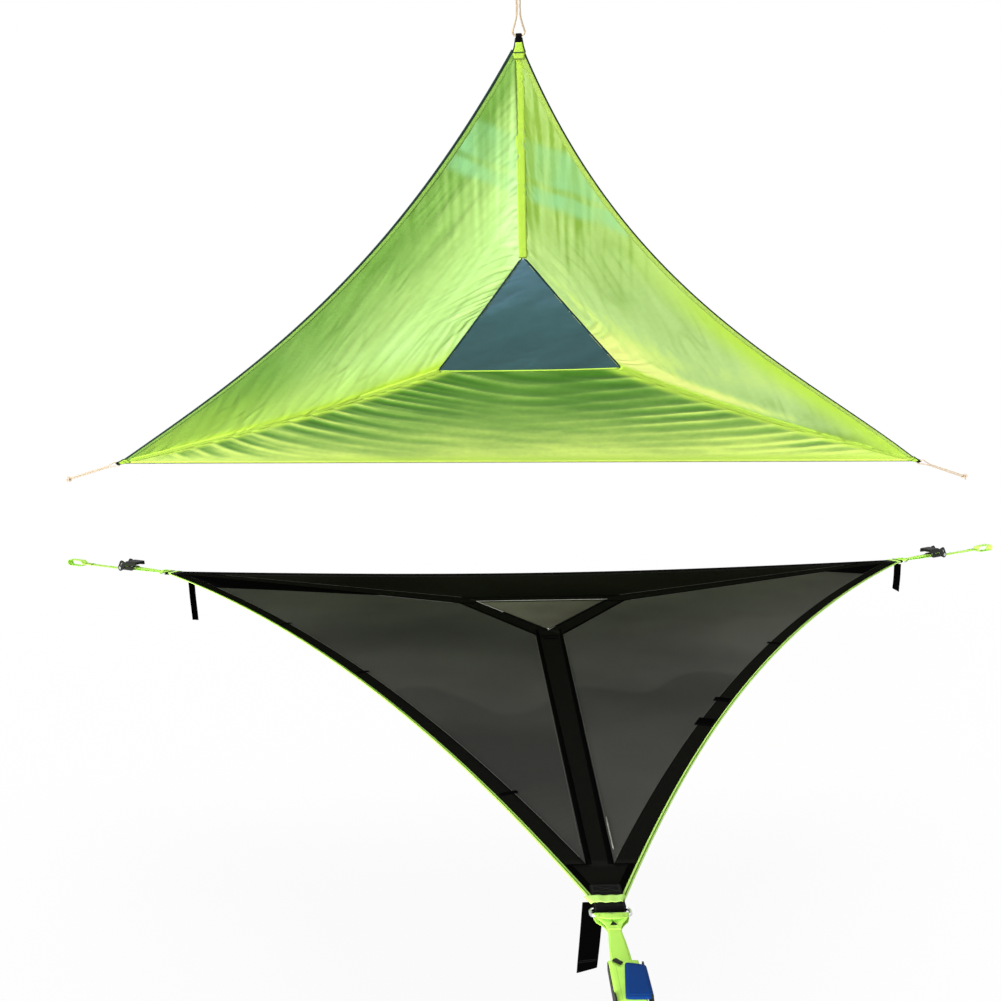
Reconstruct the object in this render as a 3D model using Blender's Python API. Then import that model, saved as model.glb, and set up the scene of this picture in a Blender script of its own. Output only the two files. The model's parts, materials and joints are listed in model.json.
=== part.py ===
"""Hammock tent: a three-corner mesh bed hung on three ratchet straps, with a green canopy above it."""

import math

import bmesh
import bpy
from mathutils import Matrix, Vector
from mathutils.geometry import delaunay_2d_cdt

# Shared
GAP = 0.0003                    # between pieces that touch
SEWN_GAP = 0.0005               # between webbing layers that are stitched together

# Bed, seen in plan: three equal sides, corners at the front, right and left
BED_SIDE = 4.10                 # corner to corner
BED_EDGE_BOW = 0.186            # how far each side curves in
BED_DIP = 0.006                 # how far the middle hangs below the corners
BED_DIP_INNER = 0.55            # the dip is level inside this radius
BED_DIP_OUTER = 1.90            # and the bed is level again outside this one
BED_EDGE_WIDTH = 0.014          # lime webbing along the sides
BED_RIM_WIDTH = 0.042           # black band inside it
BED_TIP_CUT = 0.082             # length cut off each pointed corner
BED_TIP_WIDTH = 0.038           # lime webbing across the corner
SPOKE_WIDTH_IN = 0.110          # spoke band at the hatch
SPOKE_WIDTH_OUT = 0.054         # spoke band near the corner
HATCH_SIDE = 0.594
HATCH_SHIFT = 0.200             # from the middle of the bed to the hatch's, toward the rear
HATCH_BORDER = 0.087
HATCH_PLAY = 0.0015             # around the flap
MESH_THICKNESS = 0.0020
BAND_THICKNESS = 0.0030
EDGE_THICKNESS = 0.0032

# Corner hardware, along each corner's own axis
LOOP_WIDTH = 0.066              # black webbing loop that holds the ring
LOOP_THICKNESS = 0.0026
LOOP_TAIL = 0.070               # how far the loop is sewn back over the corner
LOOP_FLAT = 0.0020              # flat length past the corner's end, before the loop turns
LOOP_WRAP = 100                 # degrees that the loop turns round the ring, each way
RING_WIRE = 0.0070
RING_WIDTH = 0.080              # centre to centre of the wire
RING_LENGTH = 0.024
RING_CORNER = 0.008
RING_FROM_TIP = 0.018           # first ring bar beyond the corner's end
BAR_PLAY = 0.0006               # webbing round a bar
STRAP_WIDTH = 0.038             # lime webbing
STRAP_THICKNESS = 0.0016
SLING_LENGTH = 0.250            # ring bar to ratchet bar
TAIL_WIDTH = 0.044              # loose black strap end under each corner
TAIL_THICKNESS = 0.0020
TAIL_LENGTHS = {"front": 0.155, "right": 0.155, "left": 0.260}
TAIL_SLANT = 0.012
TAIL_OFFSET = 0.030             # to one side of the corner's axis
TAIL_SETBACKS = {"front": 0.020, "right": 0.020, "left": 0.110}     # inside the corner's end

# Ratchet
PLATE_THICKNESS = 0.0030
FRAME_STRAP_PLAY = 0.0032       # strap edge to frame plate
FRAME_LENGTH = 0.085            # fixed bar to spool axle
FRAME_HALF_HEIGHT = 0.0100
FRAME_NOSE_RADIUS = 0.0155
FRAME_BAR_RADIUS = 0.0040
FRAME_TAIL_SHARE = 0.6          # height of the frame's cut end, as a share of the frame's
FRAME_FLOOR = 0.0020            # plate that joins the two sides
FLOOR_FROM_BAR = 0.016
FLOOR_FROM_AXLE = 0.030
FLOOR_PROUD = 0.0001            # below the sides
BAR_SINK = 0.0020               # how far the bars and webs run into the side plates
SIDE_PLAY = 0.0005              # between plates and wheels along the axle
SHAFT_RADIUS = 0.0060
SHAFT_PLAY = 0.0004
SHAFT_HEAD_RADIUS = 0.0090
SHAFT_HEAD = 0.0020
WHEEL_TEETH = 12
WHEEL_RADIUS = 0.0160
WHEEL_ROOT = 0.0125
WHEEL_THICKNESS = 0.0030
TOOTH_MARKS = (-0.30, -0.26, 0.26, 0.40)    # the open space of a tooth, in pitches
WOUND_THICKNESS = 0.0032        # strap wound on the spool
PAWL_THICKNESS = 0.0030
PAWL_LENGTH = 0.0165
PAWL_TRAVEL = 0.0050
PAWL_DEPTH = 0.0025             # how far the lock pawl reaches between the teeth
PAWL_CLEAR = 0.0010             # drive pawl above the teeth
PAWL_SLOT_PLAY = 0.0004
DRIVE_PAWL_PROUD = 0.0015       # beyond the handle's sides
DRIVE_PAWL_ANGLE = math.radians(120)
HANDLE_REACH = 0.125            # axle to the far end
HANDLE_TOP = 0.036              # the arm's upper edge above the axle
HANDLE_HEAD_EDGE = 0.0010       # the head's edge beyond the wheel
HANDLE_HUMP = ((0.002, 0.002), (0.012, 0.008), (0.026, 0.006))     # place and rise over the drive pawl
HANDLE_ARM_START = 0.040
HANDLE_ARM_DEPTH = 0.016
HANDLE_NOSE = 0.003
HANDLE_UNDER = (0.042, 0.016)   # where the arm's lower edge meets the head
HANDLE_BAR_RADIUS = 0.0040
HANDLE_BAR_SETBACK = 0.010
HANDLE_WEB = 0.0030
HANDLE_WEB_SETBACK = 0.030
HANDLE_WEB_START = 0.050
HANDLE_WEB_DEPTH = 0.002
COVER_LENGTH = 0.082
COVER_THICKNESS = 0.0060
COVER_OVERHANG = 0.0025

# Strap that runs on to the tree
TREE_RUN = 0.330                # spool axle to the stitching of the eye
EYE_LENGTH = 0.120
EYE_HEIGHT = 0.030
EYE_SEAM = 0.060
EYE_FLARE = 0.030               # from the stitching to where the eye runs straight
EYE_FACETS = 11                 # an odd number, so that one faces the bed squarely

# Canopy, measured in its own sloping plane: u across, v up the slope from the rear edge
CANOPY_BASE = 4.346
CANOPY_TIP_U = -0.066
CANOPY_SLOPE = 2.602
CANOPY_LEFT_BOW = 0.163
CANOPY_LEFT_SKEW = 0.32         # how much more a side curves near the canopy's tip
CANOPY_RIGHT_BOW = 0.192
CANOPY_RIGHT_SKEW = 0.62
CANOPY_SAG = 0.050
CANOPY_PITCH = math.radians(36.0)
CANOPY_LEAN = math.radians(0.71)
CANOPY_PLACE = (-0.073, 1.184, 0.573)
CANOPY_EDGE_WIDTH = 0.022
CANOPY_TIP_CUT = 0.048
CANOPY_TIP_WIDTH = 0.028
CANOPY_SEAM_WIDTH = 0.032
CANOPY_SEAM_BOW = 0.042         # the two side seams curve toward the rear edge
CANOPY_THICKNESS = 0.0015
CANOPY_WEBBING = 0.0028
VENT_APEX = (-0.028, 1.641)
VENT_LEFT = (-0.393, 0.910)
VENT_RIGHT = (0.437, 0.927)
VENT_BORDER = 0.026
VENT_CORNER_PLAY = 0.0012       # from the border to each point of the vent
TAB_WIDTH = 0.030               # black webbing tab at each canopy corner
TAB_THICKNESS = 0.0020
TAB_TAIL = 0.020
TAB_REACH = 0.058
TAB_FLAT = 0.004                # flat length past the corner's end, before the tab turns
CORD_DIAMETER = 0.0060
CORD_SPREAD = 0.0110            # between the centres of the doubled strands
CORD_TURN = 0.0090              # how far the cord stands out where it leaves the tab
CORD_SETTLE = 0.048             # from the tab to where the strands run side by side
CORD_REACH = 0.420
CORD_SPAN_POINTS = 2            # points along each stretch of the cord's route

# Sampling of the curves
EDGE_STEPS = 30
SHORTEST_STEP = 0.004
SPOKE_STEPS = 5
FLARE_STEPS = 3
VENT_STEPS = 4
RING_STEPS = 3
NOSE_STEPS = 14
PANEL_GRID = 0.34
ARC_STEPS = 8
ROUND_SIDES = 20
BAND_SEARCH = (0.45, 0.40)      # parts of a corner's length where a band's ends are looked for

CORNER_NAMES = ("front", "right", "left")
PANEL_NAMES = ("right", "rear", "left")     # the side that runs on from each corner
CORNER_TURNS = (-90, 30, 150)

COLOURS = {
    "black_webbing": (0.012, 0.012, 0.012, 0.85, 0.0),
    "black_mesh": (0.030, 0.031, 0.028, 0.90, 0.0),
    "lime_webbing": (0.48, 0.96, 0.10, 0.75, 0.0),
    "lime_fabric": (0.45, 0.70, 0.17, 0.60, 0.0),
    "green_fabric": (0.16, 0.37, 0.07, 0.60, 0.0),
    "vent_fabric": (0.06, 0.12, 0.14, 0.65, 0.0),
    "steel": (0.62, 0.62, 0.64, 0.30, 1.0),
    "dark_steel": (0.06, 0.07, 0.05, 0.45, 0.8),
    "blue_cover": (0.02, 0.09, 0.35, 0.50, 0.0),
    "tan_cord": (0.55, 0.40, 0.24, 0.85, 0.0),
}

for old in list(bpy.data.objects):
    bpy.data.objects.remove(old)


def material(name):
    found = bpy.data.materials.get(name)
    if found:
        return found
    made = bpy.data.materials.new(name)
    made.use_nodes = True
    shader = made.node_tree.nodes["Principled BSDF"]
    red, green, blue, rough, metal = COLOURS[name]
    shader.inputs["Base Color"].default_value = (red, green, blue, 1.0)
    shader.inputs["Roughness"].default_value = rough
    shader.inputs["Metallic"].default_value = metal
    return made


def add_mesh_object(name, mesh_data, colour, frame=None):
    node = bpy.data.objects.new(name, mesh_data)
    bpy.context.scene.collection.objects.link(node)
    if colour:
        mesh_data.materials.append(material(colour))
    if frame:
        node.matrix_world = frame
    return node


def mesh_from(name, points, faces):
    """A mesh whose faces all point out, whichever way round they were listed."""
    built = bmesh.new()
    corners = [built.verts.new(point) for point in points]
    for face in faces:
        built.faces.new([corners[i] for i in face])
    bmesh.ops.recalc_face_normals(built, faces=built.faces)
    if built.calc_volume(signed=True) < 0:
        bmesh.ops.reverse_faces(built, faces=built.faces)
    mesh_data = bpy.data.meshes.new(name)
    built.to_mesh(mesh_data)
    built.free()
    return mesh_data


def slab(name, flat, faces, lift, thickness, colour):
    """A closed solid from flat faces: lift turns a flat point and a height into a place."""
    count = len(flat)
    points = [lift(p, 0.0) for p in flat] + [lift(p, thickness) for p in flat]
    edges = {}
    for face in faces:
        for a, b in zip(face, face[1:] + face[:1]):
            edges[(a, b)] = True
    walls = [(a, b, b + count, a + count) for a, b in edges if (b, a) not in edges]
    top = [tuple(i + count for i in face) for face in faces]
    bottom = [tuple(reversed(face)) for face in faces]
    return add_mesh_object(name, mesh_from(name, points, bottom + top + walls), colour)


def strip(name, left, right, lift, thickness, colour, closed=False):
    """A band between two rows of flat points."""
    count = len(left)
    last = count if closed else count - 1
    faces = []
    for i in range(last):
        j = (i + 1) % count
        faces.append((i, j, j + count, i + count))
    return slab(name, left + right, faces, lift, thickness, colour)


def panel(name, outline, lift, thickness, colour):
    """A piece of cloth inside an outline, with inner points so that it can follow a curve."""
    xs = [p.x for p in outline]
    ys = [p.y for p in outline]
    inner = []
    columns = int((max(xs) - min(xs)) / PANEL_GRID)
    rows = int((max(ys) - min(ys)) / PANEL_GRID)
    for i in range(1, columns + 1):
        for j in range(1, rows + 1):
            spot = Vector((min(xs) + i * PANEL_GRID, min(ys) + j * PANEL_GRID))
            if inside(spot, outline) and clearance(spot, outline) > PANEL_GRID * 0.4:
                inner.append(spot)
    points = outline + inner
    ring = [(i, (i + 1) % len(outline)) for i in range(len(outline))]
    flat, _, faces, _, _, _ = delaunay_2d_cdt(points, ring, [], 1, 1e-7)
    return slab(name, list(flat), [tuple(face) for face in faces], lift, thickness, colour)


def inside(spot, outline):
    hit = False
    for a, b in zip(outline, outline[1:] + outline[:1]):
        if (a.y > spot.y) != (b.y > spot.y):
            if spot.x < a.x + (spot.y - a.y) / (b.y - a.y) * (b.x - a.x):
                hit = not hit
    return hit


def clearance(spot, outline):
    best = 1e9
    for a, b in zip(outline, outline[1:] + outline[:1]):
        along = b - a
        share = min(1.0, max(0.0, (spot - a).dot(along) / along.length_squared))
        best = min(best, (a + along * share - spot).length)
    return best


def solve(function, low, high):
    """Where a steady function changes sign between two values."""
    low_sign = function(low) > 0
    for _ in range(60):
        middle = (low + high) / 2
        if (function(middle) > 0) == low_sign:
            low = middle
        else:
            high = middle
    return (low + high) / 2


class TriangleSheet:
    """A three-corner sheet with bowed sides, a triangular hatch and bands from hatch to corners."""

    def __init__(self, corners, bows, skews, hatch, edge, rim, tip_cut, tip_width, band, band_bows, border):
        self.corners = [Vector(c) for c in corners]
        self.bows = bows
        self.skews = skews
        self.hatch = [Vector(h) for h in hatch]
        self.edge = edge
        self.rim = rim
        self.tip_cut = tip_cut
        self.tip_width = tip_width
        self.band = band
        self.band_bows = band_bows
        self.border = border
        self.axes = [(c - h).normalized() for c, h in zip(self.corners, self.hatch)]
        self.crosses = [Vector((-a.y, a.x)) for a in self.axes]
        self.lengths = [(c - h).length for c, h in zip(self.corners, self.hatch)]

    def side(self, k, t, depth):
        """A point on side k, which runs from corner k to the next, at a depth inside it."""
        start = self.corners[k]
        run = self.corners[(k + 1) % 3] - start
        normal = Vector((-run.y, run.x)).normalized()
        full = 4 * self.bows[k]
        skewed = 1 + self.skews[k] * (1 - 2 * t)
        rise = full * t * (1 - t) * skewed
        slope = run + normal * full * ((1 - 2 * t) * skewed - 2 * self.skews[k] * t * (1 - t))
        square = Vector((-slope.y, slope.x)).normalized()
        return start + run * t + normal * rise + square * depth

    def along(self, k, point):
        return (point - self.corners[k]).dot(self.axes[k])

    def across(self, k, point):
        return (point - self.corners[k]).dot(self.crosses[k])

    def share_at(self, k, ahead, place, depth):
        """How far along a side its line passes a place on the axis of corner k."""
        if ahead:
            return solve(lambda t: self.along(k, self.side(k, t, depth)) - place, 0.0, 0.5)
        return solve(lambda t: self.along(k, self.side((k + 2) % 3, t, depth)) - place, 0.5, 1.0)

    def side_at(self, k, ahead, place, depth):
        t = self.share_at(k, ahead, place, depth)
        return self.side(k if ahead else (k + 2) % 3, t, depth)

    def band_point(self, k, ahead, place, spare):
        """A point on the edge of band k: ahead is the edge toward the next corner."""
        share = min(1.0, max(0.0, 1 + place / self.lengths[k]))
        half = (self.band[0] + (self.band[1] - self.band[0]) * share) / 2 + spare
        bow = self.band_bows[k] * 4 * share * (1 - share)
        side = 1 if ahead else -1
        return self.corners[k] + self.axes[k] * place + self.crosses[k] * (bow + side * half)

    def junction(self, k, ahead, spare):
        """Where the edge of band k meets the inner line of the rim."""
        depth = self.edge + self.rim + spare
        sign = 1 if ahead else -1

        def room(place):
            rim_line = self.across(k, self.side_at(k, ahead, place, depth))
            band_line = self.across(k, self.band_point(k, ahead, place, spare))
            return (rim_line - band_line) * sign

        return solve(room, -BAND_SEARCH[0] * self.lengths[k], -self.tip_cut)

    def band_start(self, k, ahead, spare):
        """Where the edge of band k leaves the outer line of the hatch border."""
        a = self.hatch[k]
        b = self.hatch[(k + 1) % 3 if ahead else (k + 2) % 3]
        run = (b - a).normalized()
        normal = Vector((-run.y, run.x))
        other = self.hatch[(k + 2) % 3 if ahead else (k + 1) % 3]
        if (other - a).dot(normal) > 0:
            normal = -normal

        def beyond(place):
            point = self.band_point(k, ahead, place, spare)
            return (point - a).dot(normal) - self.border - spare

        return solve(beyond, -self.lengths[k], -BAND_SEARCH[1] * self.lengths[k])

    def side_rows(self, k, spans):
        """Lines of a side, each between its own two places, with points at the same shares of it."""
        ends = []
        for start, end, depth in spans:
            low = self.share_at(k, True, start, depth)
            high = self.share_at((k + 1) % 3, False, end, depth)
            ends.append((low, high, depth))
        lowest = max(low for low, high, depth in ends) + SHORTEST_STEP
        highest = min(high for low, high, depth in ends) - SHORTEST_STEP
        shared = [i / EDGE_STEPS for i in range(EDGE_STEPS)]
        shared = [t for t in shared if lowest < t < highest]
        rows = []
        for low, high, depth in ends:
            rows.append([self.side(k, t, depth) for t in [low] + shared + [high]])
        return rows

    def edge_rows(self):
        outer = []
        inner = []
        cut = -self.tip_cut
        inner_cut = cut - self.tip_width
        for k in range(3):
            rows = self.side_rows(k, ((cut, cut, 0.0), (inner_cut, inner_cut, self.edge)))
            outer += rows[0]
            inner += rows[1]
        return outer, inner

    def rim_rows(self, k):
        start = self.junction(k, True, 0.0) - GAP
        end = self.junction((k + 1) % 3, False, 0.0) - GAP
        return self.side_rows(k, ((start, end, self.edge + GAP), (start, end, self.edge + self.rim)))

    def band_row(self, k, ahead, first, steps=SPOKE_STEPS):
        """One edge of band k, from the hatch border out to the webbing across the corner."""
        meet = self.junction(k, ahead, 0.0 if self.rim else GAP)
        row = []
        for i in range(steps + 1):
            row.append(self.band_point(k, ahead, first + (meet - first) * i / steps, 0.0))
        end = -self.tip_cut - self.tip_width - GAP
        first_step = 0 if self.rim else 1
        for i in range(first_step, FLARE_STEPS + 1):
            place = meet + (end - meet) * i / FLARE_STEPS
            row.append(self.side_at(k, ahead, place, self.edge + GAP))
        return row

    def panel_outline(self, k):
        after = (k + 1) % 3
        meet = self.junction(k, True, GAP)
        meet_after = self.junction(after, False, GAP)
        first = self.band_start(k, True, GAP)
        first_after = self.band_start(after, False, GAP)
        outline = []
        for i in range(SPOKE_STEPS):
            place = first + (meet - first) * i / SPOKE_STEPS
            outline.append(self.band_point(k, True, place, GAP))
        outline += self.side_rows(k, ((meet, meet_after, self.edge + self.rim + GAP),))[0]
        for i in range(SPOKE_STEPS):
            place = meet_after + (first_after - meet_after) * (i + 1) / SPOKE_STEPS
            outline.append(self.band_point(after, False, place, GAP))
        return outline

    def border_points(self):
        """The pair of outer points of the hatch border at each of its inner corners."""
        pairs = []
        for k in range(3):
            back = self.band_point(k, False, self.band_start(k, False, 0.0), 0.0)
            ahead = self.band_point(k, True, self.band_start(k, True, 0.0), 0.0)
            pairs.append((back, ahead))
        return pairs


def bed_height(point):
    share = (point.length - BED_DIP_INNER) / (BED_DIP_OUTER - BED_DIP_INNER)
    share = min(1.0, max(0.0, share))
    return -BED_DIP * (1 - share * share * (3 - 2 * share))


def bed_lift(point, height):
    return Vector((point.x, point.y, bed_height(point) + height))


def canopy_frame():
    slope = Matrix.Rotation(CANOPY_LEAN, 4, "Y") @ Matrix.Rotation(-CANOPY_PITCH, 4, "X")
    return Matrix.Translation(CANOPY_PLACE) @ slope


def canopy_depth(point):
    """How far the cloth sags: nothing on the three straight sides, most at the middle."""
    top = point.y / CANOPY_SLOPE
    line = CANOPY_TIP_U * top
    right = (1 - top) / 2 + (point.x - line) / CANOPY_BASE
    left = 1 - top - right
    return CANOPY_SAG * 27 * max(0.0, top) * max(0.0, left) * max(0.0, right)


def canopy_lift(point, height):
    flat = Vector((point.x, -point.y, height - canopy_depth(point)))
    return canopy_frame() @ flat


def ribbon(name, path, thickness, width, colour, frame, closed=False):
    """Webbing of an even thickness along a path in its x-z plane, as wide as width across y."""
    count = len(path)
    sides = []
    for i, point in enumerate(path):
        before = path[i - 1] if closed or i > 0 else point
        after = path[(i + 1) % count] if closed or i < count - 1 else point
        into = (point - before).normalized() if point != before else None
        out = (after - point).normalized() if after != point else None
        into = into or out
        out = out or into
        square_in = Vector((-into.y, into.x))
        square_out = Vector((-out.y, out.x))
        square = (square_in + square_out).normalized()
        reach = thickness / 2 / max(0.5, square.dot(square_in))
        sides.append((point + square * reach, point - square * reach))
    points = []
    for upper, lower in sides:
        for flat in (upper, lower):
            for y in (-width / 2, width / 2):
                points.append((flat.x, y, flat.y))
    faces = []
    last = count if closed else count - 1
    for i in range(last):
        a = 4 * i
        b = 4 * ((i + 1) % count)
        for p, q in ((0, 1), (1, 3), (3, 2), (2, 0)):
            faces.append((a + p, a + q, b + q, b + p))
    if not closed:
        end = 4 * (count - 1)
        faces.append((0, 1, 3, 2))
        faces.append((end, end + 1, end + 3, end + 2))
    return add_mesh_object(name, mesh_from(name, points, faces), colour, frame)


def arc(centre, radius, start, end, steps=ARC_STEPS):
    row = []
    for i in range(steps + 1):
        angle = math.radians(start + (end - start) * i / steps)
        row.append(centre + Vector((math.cos(angle), math.sin(angle))) * radius)
    return row


def extruded(name, outline, low, high, colour, frame):
    """A flat plate: an outline in the x-z plane, from low to high across y."""
    points = [(p[0], low, p[1]) for p in outline] + [(p[0], high, p[1]) for p in outline]
    count = len(outline)
    faces = [tuple(range(count)), tuple(range(count, 2 * count))]
    for i in range(count):
        j = (i + 1) % count
        faces.append((i, j, j + count, i + count))
    return add_mesh_object(name, mesh_from(name, points, faces), colour, frame)


def turned(name, profile, colour, frame, sides=ROUND_SIDES):
    """A round solid on the y axis from pairs of radius and place, closed on the axis if it ends there."""
    points = []
    rings = []
    for radius, place in profile:
        if radius == 0:
            rings.append([len(points)])
            points.append((0, place, 0))
            continue
        rings.append(list(range(len(points), len(points) + sides)))
        for i in range(sides):
            angle = 2 * math.pi * i / sides
            points.append((radius * math.cos(angle), place, radius * math.sin(angle)))
    faces = []
    pairs = list(zip(rings, rings[1:]))
    if profile[0][0] != 0:
        pairs.append((rings[-1], rings[0]))
    for ring, after in pairs:
        for i in range(sides):
            j = (i + 1) % sides
            if len(ring) == 1:
                faces.append((ring[0], after[i], after[j]))
            elif len(after) == 1:
                faces.append((ring[i], ring[j], after[0]))
            else:
                faces.append((ring[i], ring[j], after[j], after[i]))
    mesh_data = mesh_from(name, points, faces)
    mesh_data.shade_smooth()
    mesh_data.set_sharp_from_angle(angle=math.radians(40))
    return add_mesh_object(name, mesh_data, colour, frame)


def combine(target, helper, operation):
    """Joins or cuts with a helper that is not a piece of its own."""
    helper.hide_render = True
    helper.display_type = "WIRE"
    change = target.modifiers.new(helper.name, "BOOLEAN")
    change.operation = operation
    change.solver = "EXACT"
    change.object = helper


def rectangle(x0, x1, z0, z1):
    return [(x0, z0), (x1, z0), (x1, z1), (x0, z1)]


def cord(name, route, diameter, colour, cyclic, frame):
    """A round tube along a row of places."""
    curve = bpy.data.curves.new(name, "CURVE")
    curve.dimensions = "3D"
    curve.bevel_depth = diameter / 2
    curve.bevel_resolution = 2
    curve.use_fill_caps = not cyclic
    spline = curve.splines.new("POLY")
    spline.points.add(len(route) - 1)
    for point, place in zip(spline.points, route):
        point.co = (*place, 1.0)
    spline.use_cyclic_u = cyclic
    curve.materials.append(material(colour))
    node = bpy.data.objects.new(name, curve)
    node.matrix_world = frame
    bpy.context.scene.collection.objects.link(node)
    return node


def smooth(route):
    """Points on a smooth curve through a route."""
    places = [Vector(place) for place in route]
    ends = [places[0] * 2 - places[1]] + places + [places[-1] * 2 - places[-2]]
    curve = []
    for before, start, end, after in zip(ends, ends[1:], ends[2:], ends[3:]):
        size = (end - start).length
        leave = (end - before).normalized() * size
        arrive = (after - start).normalized() * size
        for i in range(CORD_SPAN_POINTS):
            t = i / CORD_SPAN_POINTS
            fade = 2 * t ** 3 - 3 * t ** 2
            curve.append(start * (1 + fade) - end * fade + leave * (t ** 3 - 2 * t ** 2 + t)
                         + arrive * (t ** 3 - t ** 2))
    return curve + [places[-1]]


BED_RADIUS = BED_SIDE / math.sqrt(3)
HATCH_RADIUS = HATCH_SIDE / math.sqrt(3)


def around(radius):
    places = []
    for turn in CORNER_TURNS:
        angle = math.radians(turn)
        places.append((radius * math.cos(angle), radius * math.sin(angle)))
    return places


def make_bed():
    sheet = TriangleSheet(
        corners=around(BED_RADIUS), bows=(BED_EDGE_BOW,) * 3, skews=(0.0,) * 3,
        hatch=[(x, y + HATCH_SHIFT) for x, y in around(HATCH_RADIUS)],
        edge=BED_EDGE_WIDTH, rim=BED_RIM_WIDTH, tip_cut=BED_TIP_CUT, tip_width=BED_TIP_WIDTH,
        band=(SPOKE_WIDTH_IN, SPOKE_WIDTH_OUT), band_bows=(0.0,) * 3, border=HATCH_BORDER,
    )
    outer, inner = sheet.edge_rows()
    strip("edge_webbing", outer, inner, bed_lift, EDGE_THICKNESS, "lime_webbing", closed=True)
    for k, corner in enumerate(CORNER_NAMES):
        side_name = PANEL_NAMES[k]
        rim_outer, rim_inner = sheet.rim_rows(k)
        strip(f"rim_band_{side_name}", rim_outer, rim_inner, bed_lift, BAND_THICKNESS, "black_webbing")
        panel(f"mesh_panel_{side_name}", sheet.panel_outline(k), bed_lift, MESH_THICKNESS, "black_mesh")
        rows = []
        for ahead in (False, True):
            first = sheet.band_start(k, ahead, 0.0) + GAP
            rows.append(sheet.band_row(k, ahead, first))
        strip(f"spoke_band_{corner}", rows[0], rows[1], bed_lift, BAND_THICKNESS, "black_webbing")
    make_hatch_border(sheet)
    make_hatch_flap()


def make_hatch_border(sheet):
    """The ring round the hatch, with a straight end where each band starts."""
    flat = list(sheet.hatch)
    for back, ahead in sheet.border_points():
        flat += [back, ahead]
    faces = []
    for k in range(3):
        after = (k + 1) % 3
        back = 3 + 2 * k
        faces.append((k, back, back + 1))
        faces.append((k, back + 1, 3 + 2 * after, after))
    slab("hatch_border", flat, faces, bed_lift, BAND_THICKNESS, "black_webbing")


def make_hatch_flap():
    """A mesh flap that fills the hatch and swings on its rear edge."""
    inset = HATCH_RADIUS - 2 * HATCH_PLAY
    hinge_y = inset / 2
    hinge_z = -BED_DIP + BAND_THICKNESS / 2
    corners = [Vector(place) for place in around(inset)]
    flat = [Vector((c.x, c.y - hinge_y)) for c in corners]
    low = -MESH_THICKNESS / 2

    def lift(point, height):
        return Vector((point.x, point.y, low + height))

    flap = slab("hatch_flap", flat, [(0, 1, 2)], lift, MESH_THICKNESS, "black_mesh")
    flap.location = (0, HATCH_SHIFT + hinge_y, hinge_z)


def make_canopy():
    half = CANOPY_BASE / 2
    sheet = TriangleSheet(
        corners=((CANOPY_TIP_U, CANOPY_SLOPE), (-half, 0), (half, 0)),
        bows=(CANOPY_LEFT_BOW, 0.0, CANOPY_RIGHT_BOW), skews=(CANOPY_LEFT_SKEW, 0.0, -CANOPY_RIGHT_SKEW),
        hatch=(VENT_APEX, VENT_LEFT, VENT_RIGHT),
        edge=CANOPY_EDGE_WIDTH, rim=0.0, tip_cut=CANOPY_TIP_CUT, tip_width=CANOPY_TIP_WIDTH,
        band=(CANOPY_SEAM_WIDTH, CANOPY_SEAM_WIDTH),
        band_bows=(0.0, CANOPY_SEAM_BOW, -CANOPY_SEAM_BOW), border=VENT_BORDER,
    )
    outer, inner = sheet.edge_rows()
    strip("canopy_edge_webbing", outer, inner, canopy_lift, CANOPY_WEBBING, "lime_webbing", closed=True)
    sides = (("left", "lime_fabric"), ("rear", "green_fabric"), ("right", "lime_fabric"))
    for k, (side_name, colour) in enumerate(sides):
        panel(f"canopy_panel_{side_name}", sheet.panel_outline(k), canopy_lift, CANOPY_THICKNESS, colour)
    make_seam_frame(sheet)
    make_vent(sheet)
    for k, corner in enumerate(("front", "left", "right")):
        make_canopy_corner(sheet, k, corner)


def make_seam_frame(sheet):
    """Three seam bands and the border of the vent, sewn as one piece."""
    flat = list(sheet.hatch)
    faces = []
    starts = []
    for k in range(3):
        rows = []
        for ahead in (False, True):
            rows.append(sheet.band_row(k, ahead, sheet.band_start(k, ahead, 0.0)))
        count = len(rows[0])
        base = len(flat)
        starts.append((base, base + count))
        flat += rows[0] + rows[1]
        for i in range(count - 1):
            faces.append((base + i, base + i + 1, base + count + i + 1, base + count + i))
    for k in range(3):
        after = (k + 1) % 3
        faces.append((k, starts[k][0], starts[k][1]))
        faces.append((k, starts[k][1], starts[after][0], after))
    slab("canopy_seam_webbing", flat, faces, canopy_lift, CANOPY_WEBBING, "lime_webbing")


def make_vent(sheet):
    middle = (sheet.hatch[0] + sheet.hatch[1] + sheet.hatch[2]) / 3
    flat = []
    for k in range(3):
        into = middle - sheet.hatch[k]
        flat.append(sheet.hatch[k] + into.normalized() * VENT_CORNER_PLAY)
    outline = []
    for k in range(3):
        for i in range(VENT_STEPS):
            outline.append(flat[k].lerp(flat[(k + 1) % 3], i / VENT_STEPS))
    panel("canopy_vent_panel", outline, canopy_lift, CANOPY_THICKNESS, "vent_fabric")


def corner_frame(sheet, k):
    """The frame at a canopy corner's cut end: x runs out along the corner, z is off the cloth."""
    place = sheet.corners[k] - sheet.axes[k] * sheet.tip_cut
    out = Vector((sheet.axes[k].x, -sheet.axes[k].y, 0))
    up = Vector((0, 0, 1))
    side = up.cross(out)
    turn = Matrix((out, side, up)).transposed().to_4x4()
    return canopy_frame() @ Matrix.Translation((place.x, -place.y, -canopy_depth(place))) @ turn


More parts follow.
